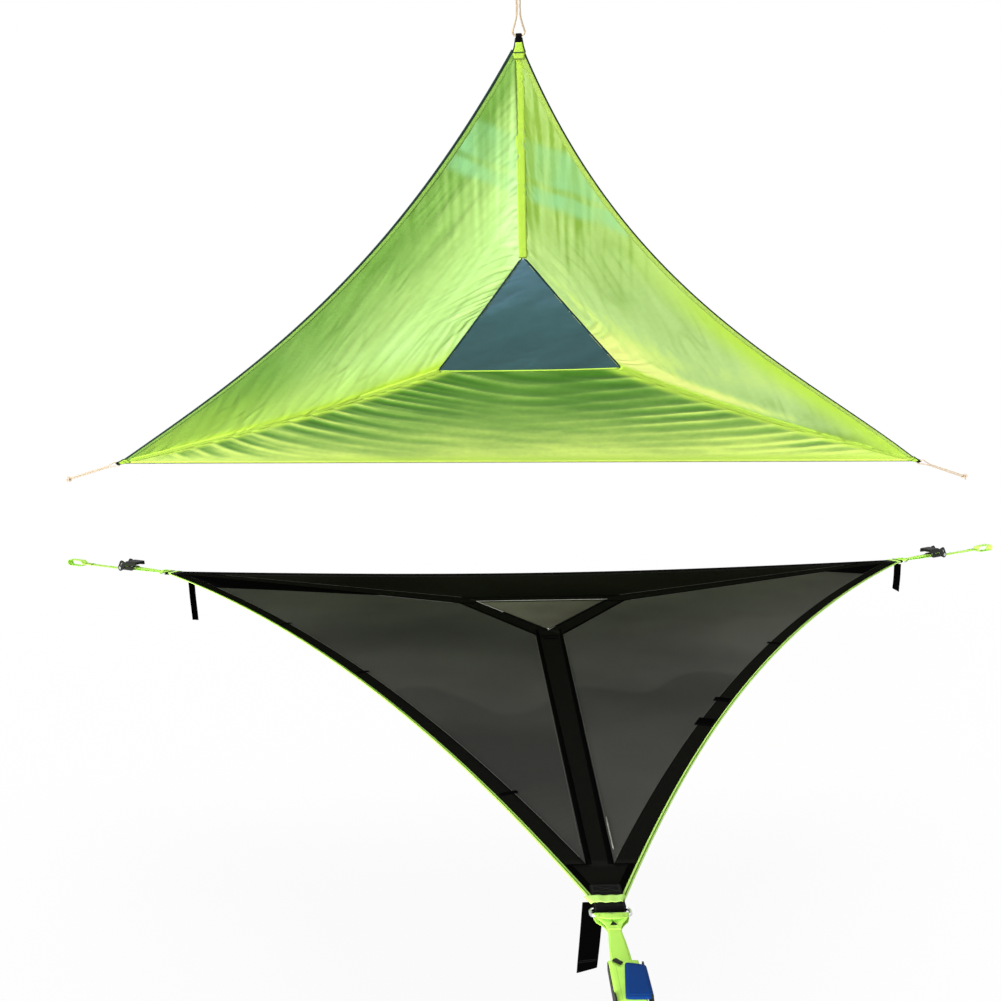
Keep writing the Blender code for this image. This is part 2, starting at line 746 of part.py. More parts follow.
def make_canopy_corner(sheet, k, corner):
    frame = corner_frame(sheet, k)
    middle = CANOPY_WEBBING / 2
    flat_gap = middle + SEWN_GAP + TAB_THICKNESS / 2
    eye = CORD_DIAMETER / 2 + BAR_PLAY + TAB_THICKNESS / 2
    turn = Vector((TAB_REACH, middle))
    upper = [Vector((-TAB_TAIL, middle + flat_gap)), Vector((TAB_FLAT, middle + flat_gap))]
    lower = [Vector((p.x, 2 * middle - p.y)) for p in reversed(upper)]
    path = upper + arc(turn, eye, 90, -90) + lower
    ribbon(f"canopy_tab_{corner}", path, TAB_THICKNESS, TAB_WIDTH, "black_webbing", frame)
    half_route = [(x, y, middle) for x, y in cord_places()]
    route = half_route + [(TAB_REACH, 0.0, middle)] + [(x, -y, z) for x, y, z in reversed(half_route)]
    cord(f"canopy_cord_{corner}", smooth(route), CORD_DIAMETER, "tan_cord", False, frame)


def cord_places():
    """One strand from its far end to the tab: it comes in wide and turns through the tab's eye."""
    spread = CORD_SPREAD / 2
    wide = TAB_WIDTH / 2 + CORD_TURN
    settled = TAB_REACH + CORD_SETTLE
    return [(CORD_REACH, spread), (CORD_REACH / 2, spread), (settled + CORD_SETTLE / 2, spread),
            (TAB_REACH + CORD_SETTLE * 0.7, wide * 0.7), (TAB_REACH + CORD_SETTLE * 0.3, wide),
            (TAB_REACH + CORD_DIAMETER, wide - CORD_TURN * 0.15),
            (TAB_REACH + CORD_DIAMETER * 0.05, wide - CORD_TURN * 0.6)]


def corner_place(turn):
    """The frame of a bed corner: x runs out along the corner's axis from the middle of the bed."""
    return Matrix.Rotation(math.radians(turn), 4, "Z")


TIP = BED_RADIUS - BED_TIP_CUT
MID_PLANE = EDGE_THICKNESS / 2
RING_NEAR = TIP + RING_FROM_TIP
RING_FAR = RING_NEAR + RING_LENGTH
FIXED_BAR = RING_FAR + SLING_LENGTH
AXLE = FIXED_BAR + FRAME_LENGTH
FRAME_INNER = STRAP_WIDTH / 2 + FRAME_STRAP_PLAY
FRAME_OUTER = FRAME_INNER + PLATE_THICKNESS
WHEEL_INNER = FRAME_OUTER + SIDE_PLAY
WHEEL_OUTER = WHEEL_INNER + WHEEL_THICKNESS
HANDLE_INNER = WHEEL_OUTER + SIDE_PLAY
HANDLE_OUTER = HANDLE_INNER + PLATE_THICKNESS
WOUND_INNER = SHAFT_RADIUS + GAP
WOUND_OUTER = WOUND_INNER + WOUND_THICKNESS
HOLE_RADIUS = SHAFT_RADIUS + SHAFT_PLAY


def make_corner(corner, turn):
    base = corner_place(turn)
    make_corner_loop(corner, base)
    make_ring(corner, base)
    make_sling(corner, base)
    make_tail(corner, base)
    axle = base @ Matrix.Translation((AXLE, 0, MID_PLANE))
    make_frame(corner, axle)
    make_spool(corner, axle)
    make_handle(corner, axle)
    make_pawls(corner, axle)
    make_tree_strap(corner, axle)


def make_corner_loop(corner, base):
    flat_gap = EDGE_THICKNESS / 2 + SEWN_GAP + LOOP_THICKNESS / 2
    bar_gap = RING_WIRE / 2 + BAR_PLAY + LOOP_THICKNESS / 2
    bar = Vector((RING_NEAR, MID_PLANE))
    height = MID_PLANE + flat_gap
    upper = [Vector((TIP - LOOP_TAIL, height)), Vector((TIP + LOOP_FLAT, height))]
    lower = [Vector((p.x, 2 * MID_PLANE - p.y)) for p in reversed(upper)]
    path = upper + arc(bar, bar_gap, LOOP_WRAP, -LOOP_WRAP) + lower
    ribbon(f"corner_loop_{corner}", path, LOOP_THICKNESS, LOOP_WIDTH, "black_webbing", base)


def make_ring(corner, base):
    half_x = RING_LENGTH / 2
    half_y = RING_WIDTH / 2
    middle = RING_NEAR + half_x
    route = []
    corners = ((1, 1, 0), (-1, 1, 90), (-1, -1, 180), (1, -1, 270))
    for sx, sy, start in corners:
        centre = Vector((middle + sx * (half_x - RING_CORNER), sy * (half_y - RING_CORNER)))
        for point in arc(centre, RING_CORNER, start, start + 90, RING_STEPS):
            route.append((point.x, point.y, MID_PLANE))
    cord(f"corner_ring_{corner}", route, RING_WIRE, "steel", True, base)


def make_sling(corner, base):
    ring_gap = RING_WIRE / 2 + BAR_PLAY + STRAP_THICKNESS / 2
    bar_gap = FRAME_BAR_RADIUS + BAR_PLAY + STRAP_THICKNESS / 2
    path = arc(Vector((RING_FAR, MID_PLANE)), ring_gap, 90, 270)
    path += arc(Vector((FIXED_BAR, MID_PLANE)), bar_gap, -90, 90)
    ribbon(f"sling_{corner}", path, STRAP_THICKNESS, STRAP_WIDTH, "lime_webbing", base, closed=True)


def make_tail(corner, base):
    """The loose strap end that hangs from the corner; it swings about its top."""
    length = TAIL_LENGTHS[corner]
    setback = TAIL_SETBACKS[corner]
    loop_depth = LOOP_THICKNESS + SEWN_GAP if setback < LOOP_TAIL else 0.0
    top = -SEWN_GAP - loop_depth - TAIL_THICKNESS / 2
    half = TAIL_WIDTH / 2
    outline = [(-half, 0), (half, 0), (half, -length + TAIL_SLANT), (-half, -length)]
    points = []
    for x in (-TAIL_THICKNESS / 2, TAIL_THICKNESS / 2):
        points += [(x, y, z) for y, z in outline]
    faces = [(0, 1, 2, 3), (4, 5, 6, 7), (0, 1, 5, 4), (1, 2, 6, 5), (2, 3, 7, 6), (3, 0, 4, 7)]
    place = Matrix.Translation((TIP - setback, -TAIL_OFFSET, top))
    name = f"tail_strap_{corner}"
    add_mesh_object(name, mesh_from(name, points, faces), "black_webbing", base @ place)


def plate_outline():
    """The side of the frame, round at the nose, measured from the axle."""
    back = -FRAME_LENGTH - FRAME_HALF_HEIGHT
    meet = math.degrees(math.asin(FRAME_HALF_HEIGHT / FRAME_NOSE_RADIUS))
    nose = arc(Vector((0, 0)), FRAME_NOSE_RADIUS, -180 + meet, 180 - meet, NOSE_STEPS)
    end_half = FRAME_HALF_HEIGHT * FRAME_TAIL_SHARE
    tail = [(back, end_half), (back, -end_half)]
    start = (-FRAME_LENGTH, -FRAME_HALF_HEIGHT)
    end = (-FRAME_LENGTH, FRAME_HALF_HEIGHT)
    return [start] + [tuple(p) for p in nose] + [end] + tail


def round_bar(name, radius, half, x, z, axle):
    return turned(name, ((0, -half), (radius, -half), (radius, half), (0, half)), None,
                  axle @ Matrix.Translation((x, 0, z)))


def make_frame(corner, axle):
    name = f"ratchet_frame_{corner}"
    outline = plate_outline()
    frame = extruded(name, outline, -FRAME_OUTER, -FRAME_INNER, "dark_steel", axle)
    second = extruded(f"{name}_plate", outline, FRAME_INNER, FRAME_OUTER, None, axle)
    combine(frame, second, "UNION")
    half = FRAME_INNER + BAR_SINK
    combine(frame, round_bar(f"{name}_bar", FRAME_BAR_RADIUS, half, -FRAME_LENGTH, 0, axle), "UNION")
    floor_low = -FRAME_HALF_HEIGHT - FLOOR_PROUD
    floor = rectangle(-FRAME_LENGTH + FLOOR_FROM_BAR, -FLOOR_FROM_AXLE, floor_low, floor_low + FRAME_FLOOR)
    combine(frame, extruded(f"{name}_floor", floor, -half, half, None, axle), "UNION")
    combine(frame, round_bar(f"{name}_bore", HOLE_RADIUS, HANDLE_OUTER, 0, 0, axle), "DIFFERENCE")
    tip = WHEEL_RADIUS - PAWL_DEPTH - PAWL_SLOT_PLAY
    far = tip + PAWL_LENGTH + PAWL_TRAVEL + 2 * PAWL_SLOT_PLAY
    thick = PAWL_THICKNESS / 2 + PAWL_SLOT_PLAY
    slot = rectangle(-far, -tip, -thick, thick)
    combine(frame, extruded(f"{name}_slot", slot, -HANDLE_OUTER, HANDLE_OUTER, None, axle), "DIFFERENCE")


def wheel_outline():
    """Ratchet teeth with an open space on the side of the lock pawl."""
    pitch = 2 * math.pi / WHEEL_TEETH
    outline = []
    for tooth in range(WHEEL_TEETH):
        space = math.pi + tooth * pitch
        radii = (WHEEL_RADIUS, WHEEL_ROOT, WHEEL_ROOT, WHEEL_RADIUS)
        for share, radius in zip(TOOTH_MARKS, radii):
            angle = space + share * pitch
            outline.append((radius * math.cos(angle), radius * math.sin(angle)))
    return outline


def make_spool(corner, axle):
    name = f"spool_{corner}"
    neck = HANDLE_OUTER + SIDE_PLAY
    end = neck + SHAFT_HEAD
    profile = ((0, -end), (SHAFT_HEAD_RADIUS, -end), (SHAFT_HEAD_RADIUS, -neck), (SHAFT_RADIUS, -neck),
               (SHAFT_RADIUS, neck), (SHAFT_HEAD_RADIUS, neck), (SHAFT_HEAD_RADIUS, end), (0, end))
    spool = turned(name, profile, "steel", axle)
    for mark, low in (("near", -WHEEL_OUTER), ("far", WHEEL_INNER)):
        wheel = extruded(f"{name}_wheel_{mark}", wheel_outline(), low, low + WHEEL_THICKNESS, None, axle)
        combine(spool, wheel, "UNION")
    half = STRAP_WIDTH / 2
    ring = ((WOUND_INNER, -half), (WOUND_OUTER, -half), (WOUND_OUTER, half), (WOUND_INNER, half))
    turned(f"wound_strap_{corner}", ring, "lime_webbing", axle)


def handle_outline():
    """The side of the handle when shut: a broad head round the axle and an arm over the frame."""
    head = arc(Vector((0, 0)), WHEEL_RADIUS + HANDLE_HEAD_EDGE, -140, 20)
    hump = [(-place, HANDLE_TOP + rise) for place, rise in HANDLE_HUMP]
    nose = -HANDLE_REACH - HANDLE_NOSE
    arm = [(-HANDLE_ARM_START, HANDLE_TOP), (-HANDLE_REACH, HANDLE_TOP),
           (nose, HANDLE_TOP - HANDLE_ARM_DEPTH / 2), (-HANDLE_REACH, HANDLE_TOP - HANDLE_ARM_DEPTH)]
    return [tuple(p) for p in head] + hump + arm + [(-HANDLE_UNDER[0], HANDLE_UNDER[1])]


def pawl_frame(axle):
    """x runs out from the axle along the drive pawl."""
    return axle @ Matrix.Rotation(-DRIVE_PAWL_ANGLE, 4, "Y")


def make_handle(corner, axle):
    name = f"ratchet_handle_{corner}"
    outline = handle_outline()
    handle = extruded(name, outline, -HANDLE_OUTER, -HANDLE_INNER, "dark_steel", axle)
    combine(handle, extruded(f"{name}_plate", outline, HANDLE_INNER, HANDLE_OUTER, None, axle), "UNION")
    half = HANDLE_INNER + BAR_SINK
    bar_x = -HANDLE_REACH + HANDLE_BAR_SETBACK
    bar_z = HANDLE_TOP - HANDLE_ARM_DEPTH / 2
    bar = round_bar(f"{name}_bar", HANDLE_BAR_RADIUS, half, bar_x, bar_z, axle)
    combine(handle, bar, "UNION")
    web_top = HANDLE_TOP - HANDLE_WEB_DEPTH
    web = rectangle(-HANDLE_REACH + HANDLE_WEB_SETBACK, -HANDLE_WEB_START, web_top - HANDLE_WEB, web_top)
    combine(handle, extruded(f"{name}_web", web, -half, half, None, axle), "UNION")
    combine(handle, round_bar(f"{name}_bore", HOLE_RADIUS, 2 * HANDLE_OUTER, 0, 0, axle), "DIFFERENCE")
    near = WHEEL_RADIUS + PAWL_CLEAR - PAWL_SLOT_PLAY
    far = near + PAWL_LENGTH + PAWL_TRAVEL + 2 * PAWL_SLOT_PLAY
    thick = PAWL_THICKNESS / 2 + PAWL_SLOT_PLAY
    slot = extruded(f"{name}_slot", rectangle(near, far, -thick, thick), -2 * HANDLE_OUTER,
                    2 * HANDLE_OUTER, None, pawl_frame(axle))
    combine(handle, slot, "DIFFERENCE")
    cover_low = HANDLE_TOP + GAP
    nose = -HANDLE_REACH - HANDLE_NOSE
    cover_box = rectangle(nose, nose + COVER_LENGTH, cover_low, cover_low + COVER_THICKNESS)
    cover_half = HANDLE_OUTER + COVER_OVERHANG
    cover = extruded(f"handle_cover_{corner}", cover_box, -cover_half, cover_half, "blue_cover", axle)
    rounding = cover.modifiers.new("rounding", "BEVEL")
    rounding.width = COVER_THICKNESS / 3
    rounding.segments = 2


def make_pawls(corner, axle):
    half = PAWL_THICKNESS / 2
    tip = WHEEL_RADIUS - PAWL_DEPTH
    lock = rectangle(-tip - PAWL_LENGTH, -tip, -half, half)
    extruded(f"lock_pawl_{corner}", lock, -WHEEL_OUTER, WHEEL_OUTER, "steel", axle)
    near = WHEEL_RADIUS + PAWL_CLEAR
    drive = rectangle(near, near + PAWL_LENGTH, -half, half)
    reach = HANDLE_OUTER + DRIVE_PAWL_PROUD
    extruded(f"drive_pawl_{corner}", drive, -reach, reach, "steel", pawl_frame(axle))


def make_tree_strap(corner, axle):
    """From under the spool out to a sewn eye, which the tree is held in."""
    low = -WOUND_OUTER - GAP - STRAP_THICKNESS / 2
    fold = STRAP_THICKNESS + SEWN_GAP
    radius = EYE_HEIGHT / 2 + STRAP_THICKNESS / 2
    middle = low + fold / 2
    eye_near = TREE_RUN + EYE_FLARE
    eye_far = eye_near + EYE_LENGTH - EYE_HEIGHT
    path = [Vector((0.0, low)), Vector((TREE_RUN - EYE_SEAM, low)), Vector((TREE_RUN, low))]
    path += [Vector((eye_near, middle - radius))]
    path += arc(Vector((eye_far, middle)), radius, -90, 90, EYE_FACETS)
    path += [Vector((eye_near, middle + radius))]
    path += [Vector((TREE_RUN, low + fold)), Vector((TREE_RUN - EYE_SEAM, low + fold))]
    ribbon(f"tree_strap_{corner}", path, STRAP_THICKNESS, STRAP_WIDTH, "lime_webbing", axle)


make_bed()
for corner_name, corner_turn in zip(CORNER_NAMES, CORNER_TURNS):
    make_corner(corner_name, corner_turn)
make_canopy()
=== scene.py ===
"""How the hammock tent looks: its cloth, mesh, webbing, cords and steel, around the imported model."""

import json
import math

import bmesh
import bpy
import numpy as np
from mathutils import Matrix, Vector, noise

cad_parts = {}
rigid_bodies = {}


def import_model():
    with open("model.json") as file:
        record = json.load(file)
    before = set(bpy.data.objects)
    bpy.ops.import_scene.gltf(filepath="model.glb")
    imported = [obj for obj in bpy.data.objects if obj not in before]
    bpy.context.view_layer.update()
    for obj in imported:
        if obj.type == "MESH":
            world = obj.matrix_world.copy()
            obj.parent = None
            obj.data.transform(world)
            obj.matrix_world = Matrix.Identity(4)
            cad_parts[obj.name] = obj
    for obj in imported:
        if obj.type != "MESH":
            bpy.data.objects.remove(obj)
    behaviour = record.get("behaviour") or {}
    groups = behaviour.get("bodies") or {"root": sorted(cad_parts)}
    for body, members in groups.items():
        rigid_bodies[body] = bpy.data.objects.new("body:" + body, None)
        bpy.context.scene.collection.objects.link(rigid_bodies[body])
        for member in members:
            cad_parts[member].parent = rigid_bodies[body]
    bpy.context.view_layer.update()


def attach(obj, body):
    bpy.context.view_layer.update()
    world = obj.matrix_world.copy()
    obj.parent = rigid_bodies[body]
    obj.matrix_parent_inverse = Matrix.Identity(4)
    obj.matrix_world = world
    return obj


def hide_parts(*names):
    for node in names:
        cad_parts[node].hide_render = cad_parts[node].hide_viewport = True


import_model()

PHOTO_SIDE = 1001
PHOTO_FOCUS = 989.0
SENSOR_WIDTH = 36.0
VIEW_DEPTH = 100.0
CAMERA_PLACE = Vector((-0.22274, -4.16830, 1.08913))
CAMERA_PITCH = math.radians(7.699)
CAMERA_YAW = math.radians(0.4372)
CAMERA_ROLL = math.radians(-0.8404)


def make_camera():
    ahead = Vector((math.sin(CAMERA_YAW) * math.cos(CAMERA_PITCH),
                    math.cos(CAMERA_YAW) * math.cos(CAMERA_PITCH), -math.sin(CAMERA_PITCH)))
    flat = Vector((math.cos(CAMERA_YAW), -math.sin(CAMERA_YAW), 0.0))
    rise = flat.cross(ahead)
    right = flat * math.cos(CAMERA_ROLL) + rise * math.sin(CAMERA_ROLL)
    up = rise * math.cos(CAMERA_ROLL) - flat * math.sin(CAMERA_ROLL)
    data = bpy.data.cameras.new("camera")
    data.sensor_fit = "HORIZONTAL"
    data.sensor_width = SENSOR_WIDTH
    data.lens = SENSOR_WIDTH * PHOTO_FOCUS / PHOTO_SIDE
    data.clip_end = VIEW_DEPTH
    eye = bpy.data.objects.new("camera", data)
    eye.matrix_world = Matrix.Translation(CAMERA_PLACE) @ Matrix((right, up, -ahead)).transposed().to_4x4()
    bpy.context.scene.collection.objects.link(eye)
    bpy.context.scene.camera = eye


make_camera()


# Materials. Patterns have their periods in metres
RIPSTOP = 0.005
CLOTH_WEAVE = 0.0007
MESH_PITCH = 0.0026
STITCH_PITCH = 0.0045
STITCH_HALF = 0.0005
BRAID_PITCH = 0.0032
WAVE_PERIOD = 0.314159
DARK_THREAD = (0.20, 0.38, 0.04)
CORD_FLECK = (0.80, 0.71, 0.55)
MINT = (0.352, 0.700, 0.340)
LIME = (0.560, 0.800, 0.075)


def grey(level):
    return (level,) * 3


def darker(colour, share):
    return tuple(part * share for part in colour)


def add(tree, kind, inputs=None, **settings):
    """A node with its settings and its inputs, each a plain value or what another node gives out."""
    node = tree.nodes.new(kind)
    for key, value in settings.items():
        setattr(node, key, value)
    for key, value in (inputs or {}).items():
        if isinstance(value, Value):
            tree.links.new(value.socket, node.inputs[key])
        else:
            node.inputs[key].default_value = value
    return node


class Value:
    """What a node gives out, which takes part in sums and products as a number does."""

    def __init__(self, tree, socket):
        self.tree, self.socket = tree, socket

    def maths(self, operation, other):
        node = add(self.tree, "ShaderNodeMath", {0: self, 1: other}, operation=operation)
        return Value(self.tree, node.outputs[0])

    def __add__(self, other):
        return self.maths("ADD", other)

    def __sub__(self, other):
        return self.maths("SUBTRACT", other)

    def __mul__(self, other):
        return self.maths("MULTIPLY", other)

    def __rsub__(self, other):
        return self * -1.0 + other


class Finish:
    """A material in the making, with patterns over the mesh's own weave or over the space round it."""

    def __init__(self, name, rough, specular=0.5, over="UV", metallic=0.0, sheen=0.0):
        self.material = bpy.data.materials.new(name)
        self.material.use_nodes = True
        self.tree = self.material.node_tree
        self.shader = self.tree.nodes["Principled BSDF"]
        for key, value in (("Roughness", rough), ("Specular IOR Level", specular), ("Metallic", metallic),
                           ("Sheen Weight", sheen)):
            self.shader.inputs[key].default_value = value
        self.place = self.give("ShaderNodeTexCoord", output=over)

    def give(self, kind, inputs=None, output=0, **settings):
        return Value(self.tree, add(self.tree, kind, inputs, **settings).outputs[output])

    def mark(self, name):
        """A number that the mesh keeps for each of its points."""
        return self.give("ShaderNodeAttribute", output="Fac", attribute_name=name)

    def ribs(self, period, direction, distortion=0.0):
        """Even waves along a direction."""
        return self.give("ShaderNodeTexWave", {"Vector": self.place, "Scale": WAVE_PERIOD / period,
                                               "Distortion": distortion}, "Fac", bands_direction=direction)

    def clouds(self, scale, detail, stretch=None):
        place = self.place
        if stretch:
            place = self.give("ShaderNodeMapping", {"Vector": place, "Scale": stretch})
        return self.give("ShaderNodeTexNoise", {"Vector": place, "Scale": scale, "Detail": detail}, "Fac")

    def ramp(self, value, stops):
        """A colour from pairs of place and colour."""
        node = add(self.tree, "ShaderNodeValToRGB", {"Fac": value})
        marks = node.color_ramp.elements
        while len(marks) < len(stops):
            marks.new(0.5)
        for mark, (place, colour) in zip(marks, stops):
            mark.position = place
            mark.color = (*colour, 1.0)
        return Value(self.tree, node.outputs["Color"])

    def mix(self, share, first, second, how="MIX"):
        first, second = ((*part, 1.0) if isinstance(part, tuple) else part for part in (first, second))
        inputs = {0: share, 6: first, 7: second}
        return self.give("ShaderNodeMix", inputs, 2, data_type="RGBA", blend_type=how)

    def bump(self, height, distance, strength):
        normal = self.give("ShaderNodeBump", {"Height": height, "Distance": distance, "Strength": strength})
        self.feed("Normal", normal)
        return normal

    def feed(self, key, value):
        self.tree.links.new(value.socket, self.shader.inputs[key])

    def cover(self, share, kind, inputs):
        """A second shader over the first, as a share of it."""
        both = self.give("ShaderNodeMixShader", {0: share, 1: Value(self.tree, self.shader.outputs[0]),
                                                 2: self.give(kind, inputs)})
        self.tree.links.new(both.socket, self.tree.nodes["Material Output"].inputs["Surface"])

    def coloured(self, colour):
        self.feed("Base Color", colour)
        return self.material


def cloth(name, stops, through):
    """Thin coated cloth: tone of each place from the mesh, a fine ripstop grid, light that shines through."""
    made = Finish(name, 0.5, specular=0.16, sheen=0.03)
    tone = made.mark("tone") + (made.clouds(2.6, 4.0) - 0.5) * 0.22 + (made.clouds(30.0, 2.0) - 0.5) * 0.14
    colour = made.ramp(tone, stops)
    # Painted light: painted yellow-lime highlights where the lime mark lies, and paler mint bands of painted
    # light below the tip.
    for mark, share, shade in (("lime", 1.0, LIME), ("painted_light", 0.75, MINT)):
        colour = made.mix(made.mark(mark) * share, colour, shade)
    rows, files = (made.ribs(RIPSTOP, way).maths("POWER", 14.0) for way in "XY")
    grid = rows.maths("MAXIMUM", files)
    colour = made.mix(grid * 0.10, colour, grey(0.04), "MULTIPLY")
    weave = made.ribs(CLOTH_WEAVE, "X") + made.ribs(CLOTH_WEAVE, "Y")
    normal = made.bump(weave * 0.2 + grid, 0.0002, 0.35)
    made.cover(through, "ShaderNodeBsdfTranslucent", {"Color": colour, "Normal": normal})
    return made.coloured(colour)


def mesh_cloth(name, dark, light):
    """Black polyester mesh: small holes in rows between the threads, and a soft uneven shade."""
    made = Finish(name, 0.85, specular=0.0)
    tone = made.mark("tone") + (made.clouds(1.7, 3.0) - 0.5) * 0.7
    holes = made.ribs(MESH_PITCH, "X") * made.ribs(MESH_PITCH, "Y")
    made.bump(1.0 - holes, 0.0006, 0.6)
    return made.coloured(made.mix(holes * 0.75, made.ramp(tone, ((0.15, dark), (0.85, light))), grey(0.02),
                                  "MULTIPLY"))


def webbing(name, colour, sewn=None, width=0.0, line=0.004, rough=0.72, rib=0.0022, worn=0.35, specular=0.15):
    """Woven strap: ribs across it, a fine twill, soiling, and two rows of stitches if it has a width."""
    made = Finish(name, rough, specular)
    body = made.mix(made.clouds(14.0, 4.0) * worn, colour, darker(colour, 0.55))
    weave = made.ribs(rib, "Y", 0.6) + made.ribs(rib * 0.8, "DIAGONAL") * 0.6
    body = made.mix((1.2 - weave) * 0.22, body, darker(colour, 0.4))
    height = weave
    if width:
        across = made.give("ShaderNodeSeparateXYZ", {0: made.place}).maths("ABSOLUTE", 0.0)
        near = (across - (width / 2 - line)).maths("ABSOLUTE", 0.0).maths("LESS_THAN", STITCH_HALF)
        rows = near * made.ribs(STITCH_PITCH, "Y").maths("GREATER_THAN", 0.22)
        body = made.mix(rows, body, sewn)
        height = weave + rows * 1.6
    made.bump(height, 0.0004, 0.7)
    return made.coloured(body)


def metal(name, colour, rough, scratches, metallic, specular):
    """Steel with fine scratches, a little wear and dust in patches."""
    made = Finish(name, rough, specular, "Object", metallic)
    lines = made.clouds(260.0, 4.0, (1.0, 1.0, 6.0))
    made.feed("Roughness", lines * scratches + (rough - scratches / 2))
    made.bump(lines, 0.0001, 0.25)
    return made.coloured(made.mix(made.clouds(45.0, 4.0) * 0.6, colour, darker(colour, 0.55)))


def rope(name, colour):
    """Braided cord: slanted strands of two shades that cross round it."""
    made = Finish(name, 0.8, 0.2, "Object")
    strands, flecks = made.ribs(BRAID_PITCH, "DIAGONAL"), made.clouds(420.0, 2.0)
    made.bump(strands + flecks, 0.0004, 0.8)
    return made.coloured(made.mix(flecks * 0.5, made.mix(strands, darker(colour, 0.55), colour), CORD_FLECK))


def thread(name, colour):
    """Plain twisted thread or binding tape, with a fine twist and an uneven shade."""
    made = Finish(name, 0.7, 0.12, "Object")
    made.bump(made.clouds(900.0, 2.0), 0.0003, 0.5)
    return made.coloured(made.mix(made.clouds(90.0, 3.0), colour, darker(colour, 0.6)))


# The one green cloth in three copies: each panel's ramp carries the light and shade that fall on that panel,
# painted in.
LEFT_CLOTH = cloth("left_cloth", ((0.0, (0.190, 0.400, 0.062)), (0.3, (0.300, 0.530, 0.120)),
                                  (0.6, (0.470, 0.700, 0.215)), (0.85, (0.590, 0.850, 0.310)),
                                  (1.0, (0.690, 0.910, 0.430))), 0.35)
RIGHT_CLOTH = cloth("right_cloth", ((0.0, (0.250, 0.440, 0.070)), (0.3, (0.430, 0.630, 0.200)),
                                    (0.55, (0.545, 0.745, 0.290)), (0.8, (0.690, 0.860, 0.270)),
                                    (1.0, (0.850, 0.920, 0.330))), 0.35)
REAR_CLOTH = cloth("rear_cloth", ((0.0, (0.076, 0.242, 0.019)), (0.35, (0.150, 0.352, 0.048)),
                                  (0.65, (0.328, 0.558, 0.102)), (1.0, (0.760, 0.930, 0.220))), 0.30)
VENT_CLOTH = cloth("vent_cloth", ((0.0, (0.028, 0.072, 0.074)), (0.5, (0.050, 0.122, 0.128)),
                                  (1.0, (0.095, 0.190, 0.250))), 0.12)
MESH = mesh_cloth("bed_mesh", (0.050, 0.049, 0.047), (0.094, 0.092, 0.085))
# A darker, shaded copy of the bed mesh for the rear panel: painted shade.
REAR_MESH = mesh_cloth("bed_mesh_rear", (0.0040, 0.0040, 0.0038), (0.0110, 0.0115, 0.0085))
FLAP_MESH = mesh_cloth("flap_mesh", (0.056, 0.050, 0.045), (0.180, 0.165, 0.145))
BAND = webbing("bed_band", (0.0078, 0.0078, 0.0066), specular=0.0)
BAND_EDGE = webbing("bed_band_edge", grey(0.0022), specular=0.0)
LIME_EDGE = webbing("lime_edge", (0.60, 0.97, 0.20), rib=0.0014, worn=0.12)
LIME_CROSSING = webbing("lime_crossing", (0.60, 0.97, 0.22), DARK_THREAD, 0.036, 0.003, rib=0.0014)
LIME_STRAP = webbing("lime_strap", (0.55, 0.97, 0.14), (0.30, 0.60, 0.05), 0.038)
LIME_TAPE = webbing("lime_tape", (0.47, 0.73, 0.075), (0.30, 0.50, 0.04), 0.032, rib=0.0016, worn=0.25)
# The one hem webbing in three copies, darker, middle and pale, each painted with the light and shade on its
# side of the canopy.
LEFT_HEM = webbing("left_hem", (0.265, 0.500, 0.085), (0.12, 0.26, 0.03), 0.022, rib=0.0012)
RIGHT_HEM = webbing("right_hem", (0.430, 0.640, 0.110), (0.30, 0.47, 0.07), 0.022, rib=0.0012, worn=0.20)
PALE_HEM = webbing("pale_hem", (0.720, 0.900, 0.150), (0.40, 0.60, 0.08), 0.022, rib=0.0012)
BLACK_STRAP = webbing("black_strap", grey(0.0012), grey(0.004), 0.050, specular=0.0)
BLACK_LOOP = webbing("black_loop", grey(0.0030), grey(0.03), 0.066, specular=0.04)
BLUE = webbing("blue_cover", (0.004, 0.045, 0.225), rough=0.6, rib=0.0009, specular=0.06)
BLACK_GRIP = webbing("black_grip", grey(0.006), rough=0.6, rib=0.0009, specular=0.2)
DARK_PIPING = thread("dark_piping", (0.010, 0.030, 0.022))
DARK_TAPE = thread("dark_tape", (0.016, 0.045, 0.042))
GREEN_PIPING = thread("green_piping", (0.110, 0.24, 0.025))
SEAM_PIPING = thread("seam_piping", (0.065, 0.066, 0.058))
GREY_THREAD = thread("grey_thread", (0.022, 0.022, 0.021))
PALE_THREAD = thread("pale_thread", (0.30, 0.31, 0.27))
BLACK_THREAD = thread("black_thread", grey(0.006))
BLUE_THREAD = thread("blue_thread", (0.02, 0.09, 0.27))
STEEL = metal("steel", (0.70, 0.71, 0.72), 0.26, 0.16, metallic=1.0, specular=0.5)
DARK_STEEL = metal("dark_steel", (0.014, 0.017, 0.011), 0.50, 0.2, metallic=0.0, specular=0.10)
TAN = rope("tan_cord", (0.52, 0.37, 0.22))


# Making of meshes
MERGED_EDGE = 0.14
THINNEST_EDGE = 0.12


def mesh_object(name, points, faces, material, uv=None, tone=None, smooth=True):
    data = bpy.data.meshes.new(name)
    data.from_pydata([tuple(map(float, p)) for p in points], [], faces)
    data.materials.append(material)
    if uv is not None:
        layer = data.uv_layers.new(name="weave")
        index = np.zeros(len(data.loops), np.int32)
        data.loops.foreach_get("vertex_index", index)
        layer.data.foreach_set("uv", np.asarray(uv, np.float32)[index].ravel())
    if tone is not None:
        data.attributes.new("tone", "FLOAT", "POINT").data.foreach_set("value", np.asarray(tone, np.float32))
    data.validate()
    if smooth:
        data.shade_smooth()
    made = bpy.data.objects.new(name, data)
    bpy.context.scene.collection.objects.link(made)
    return made


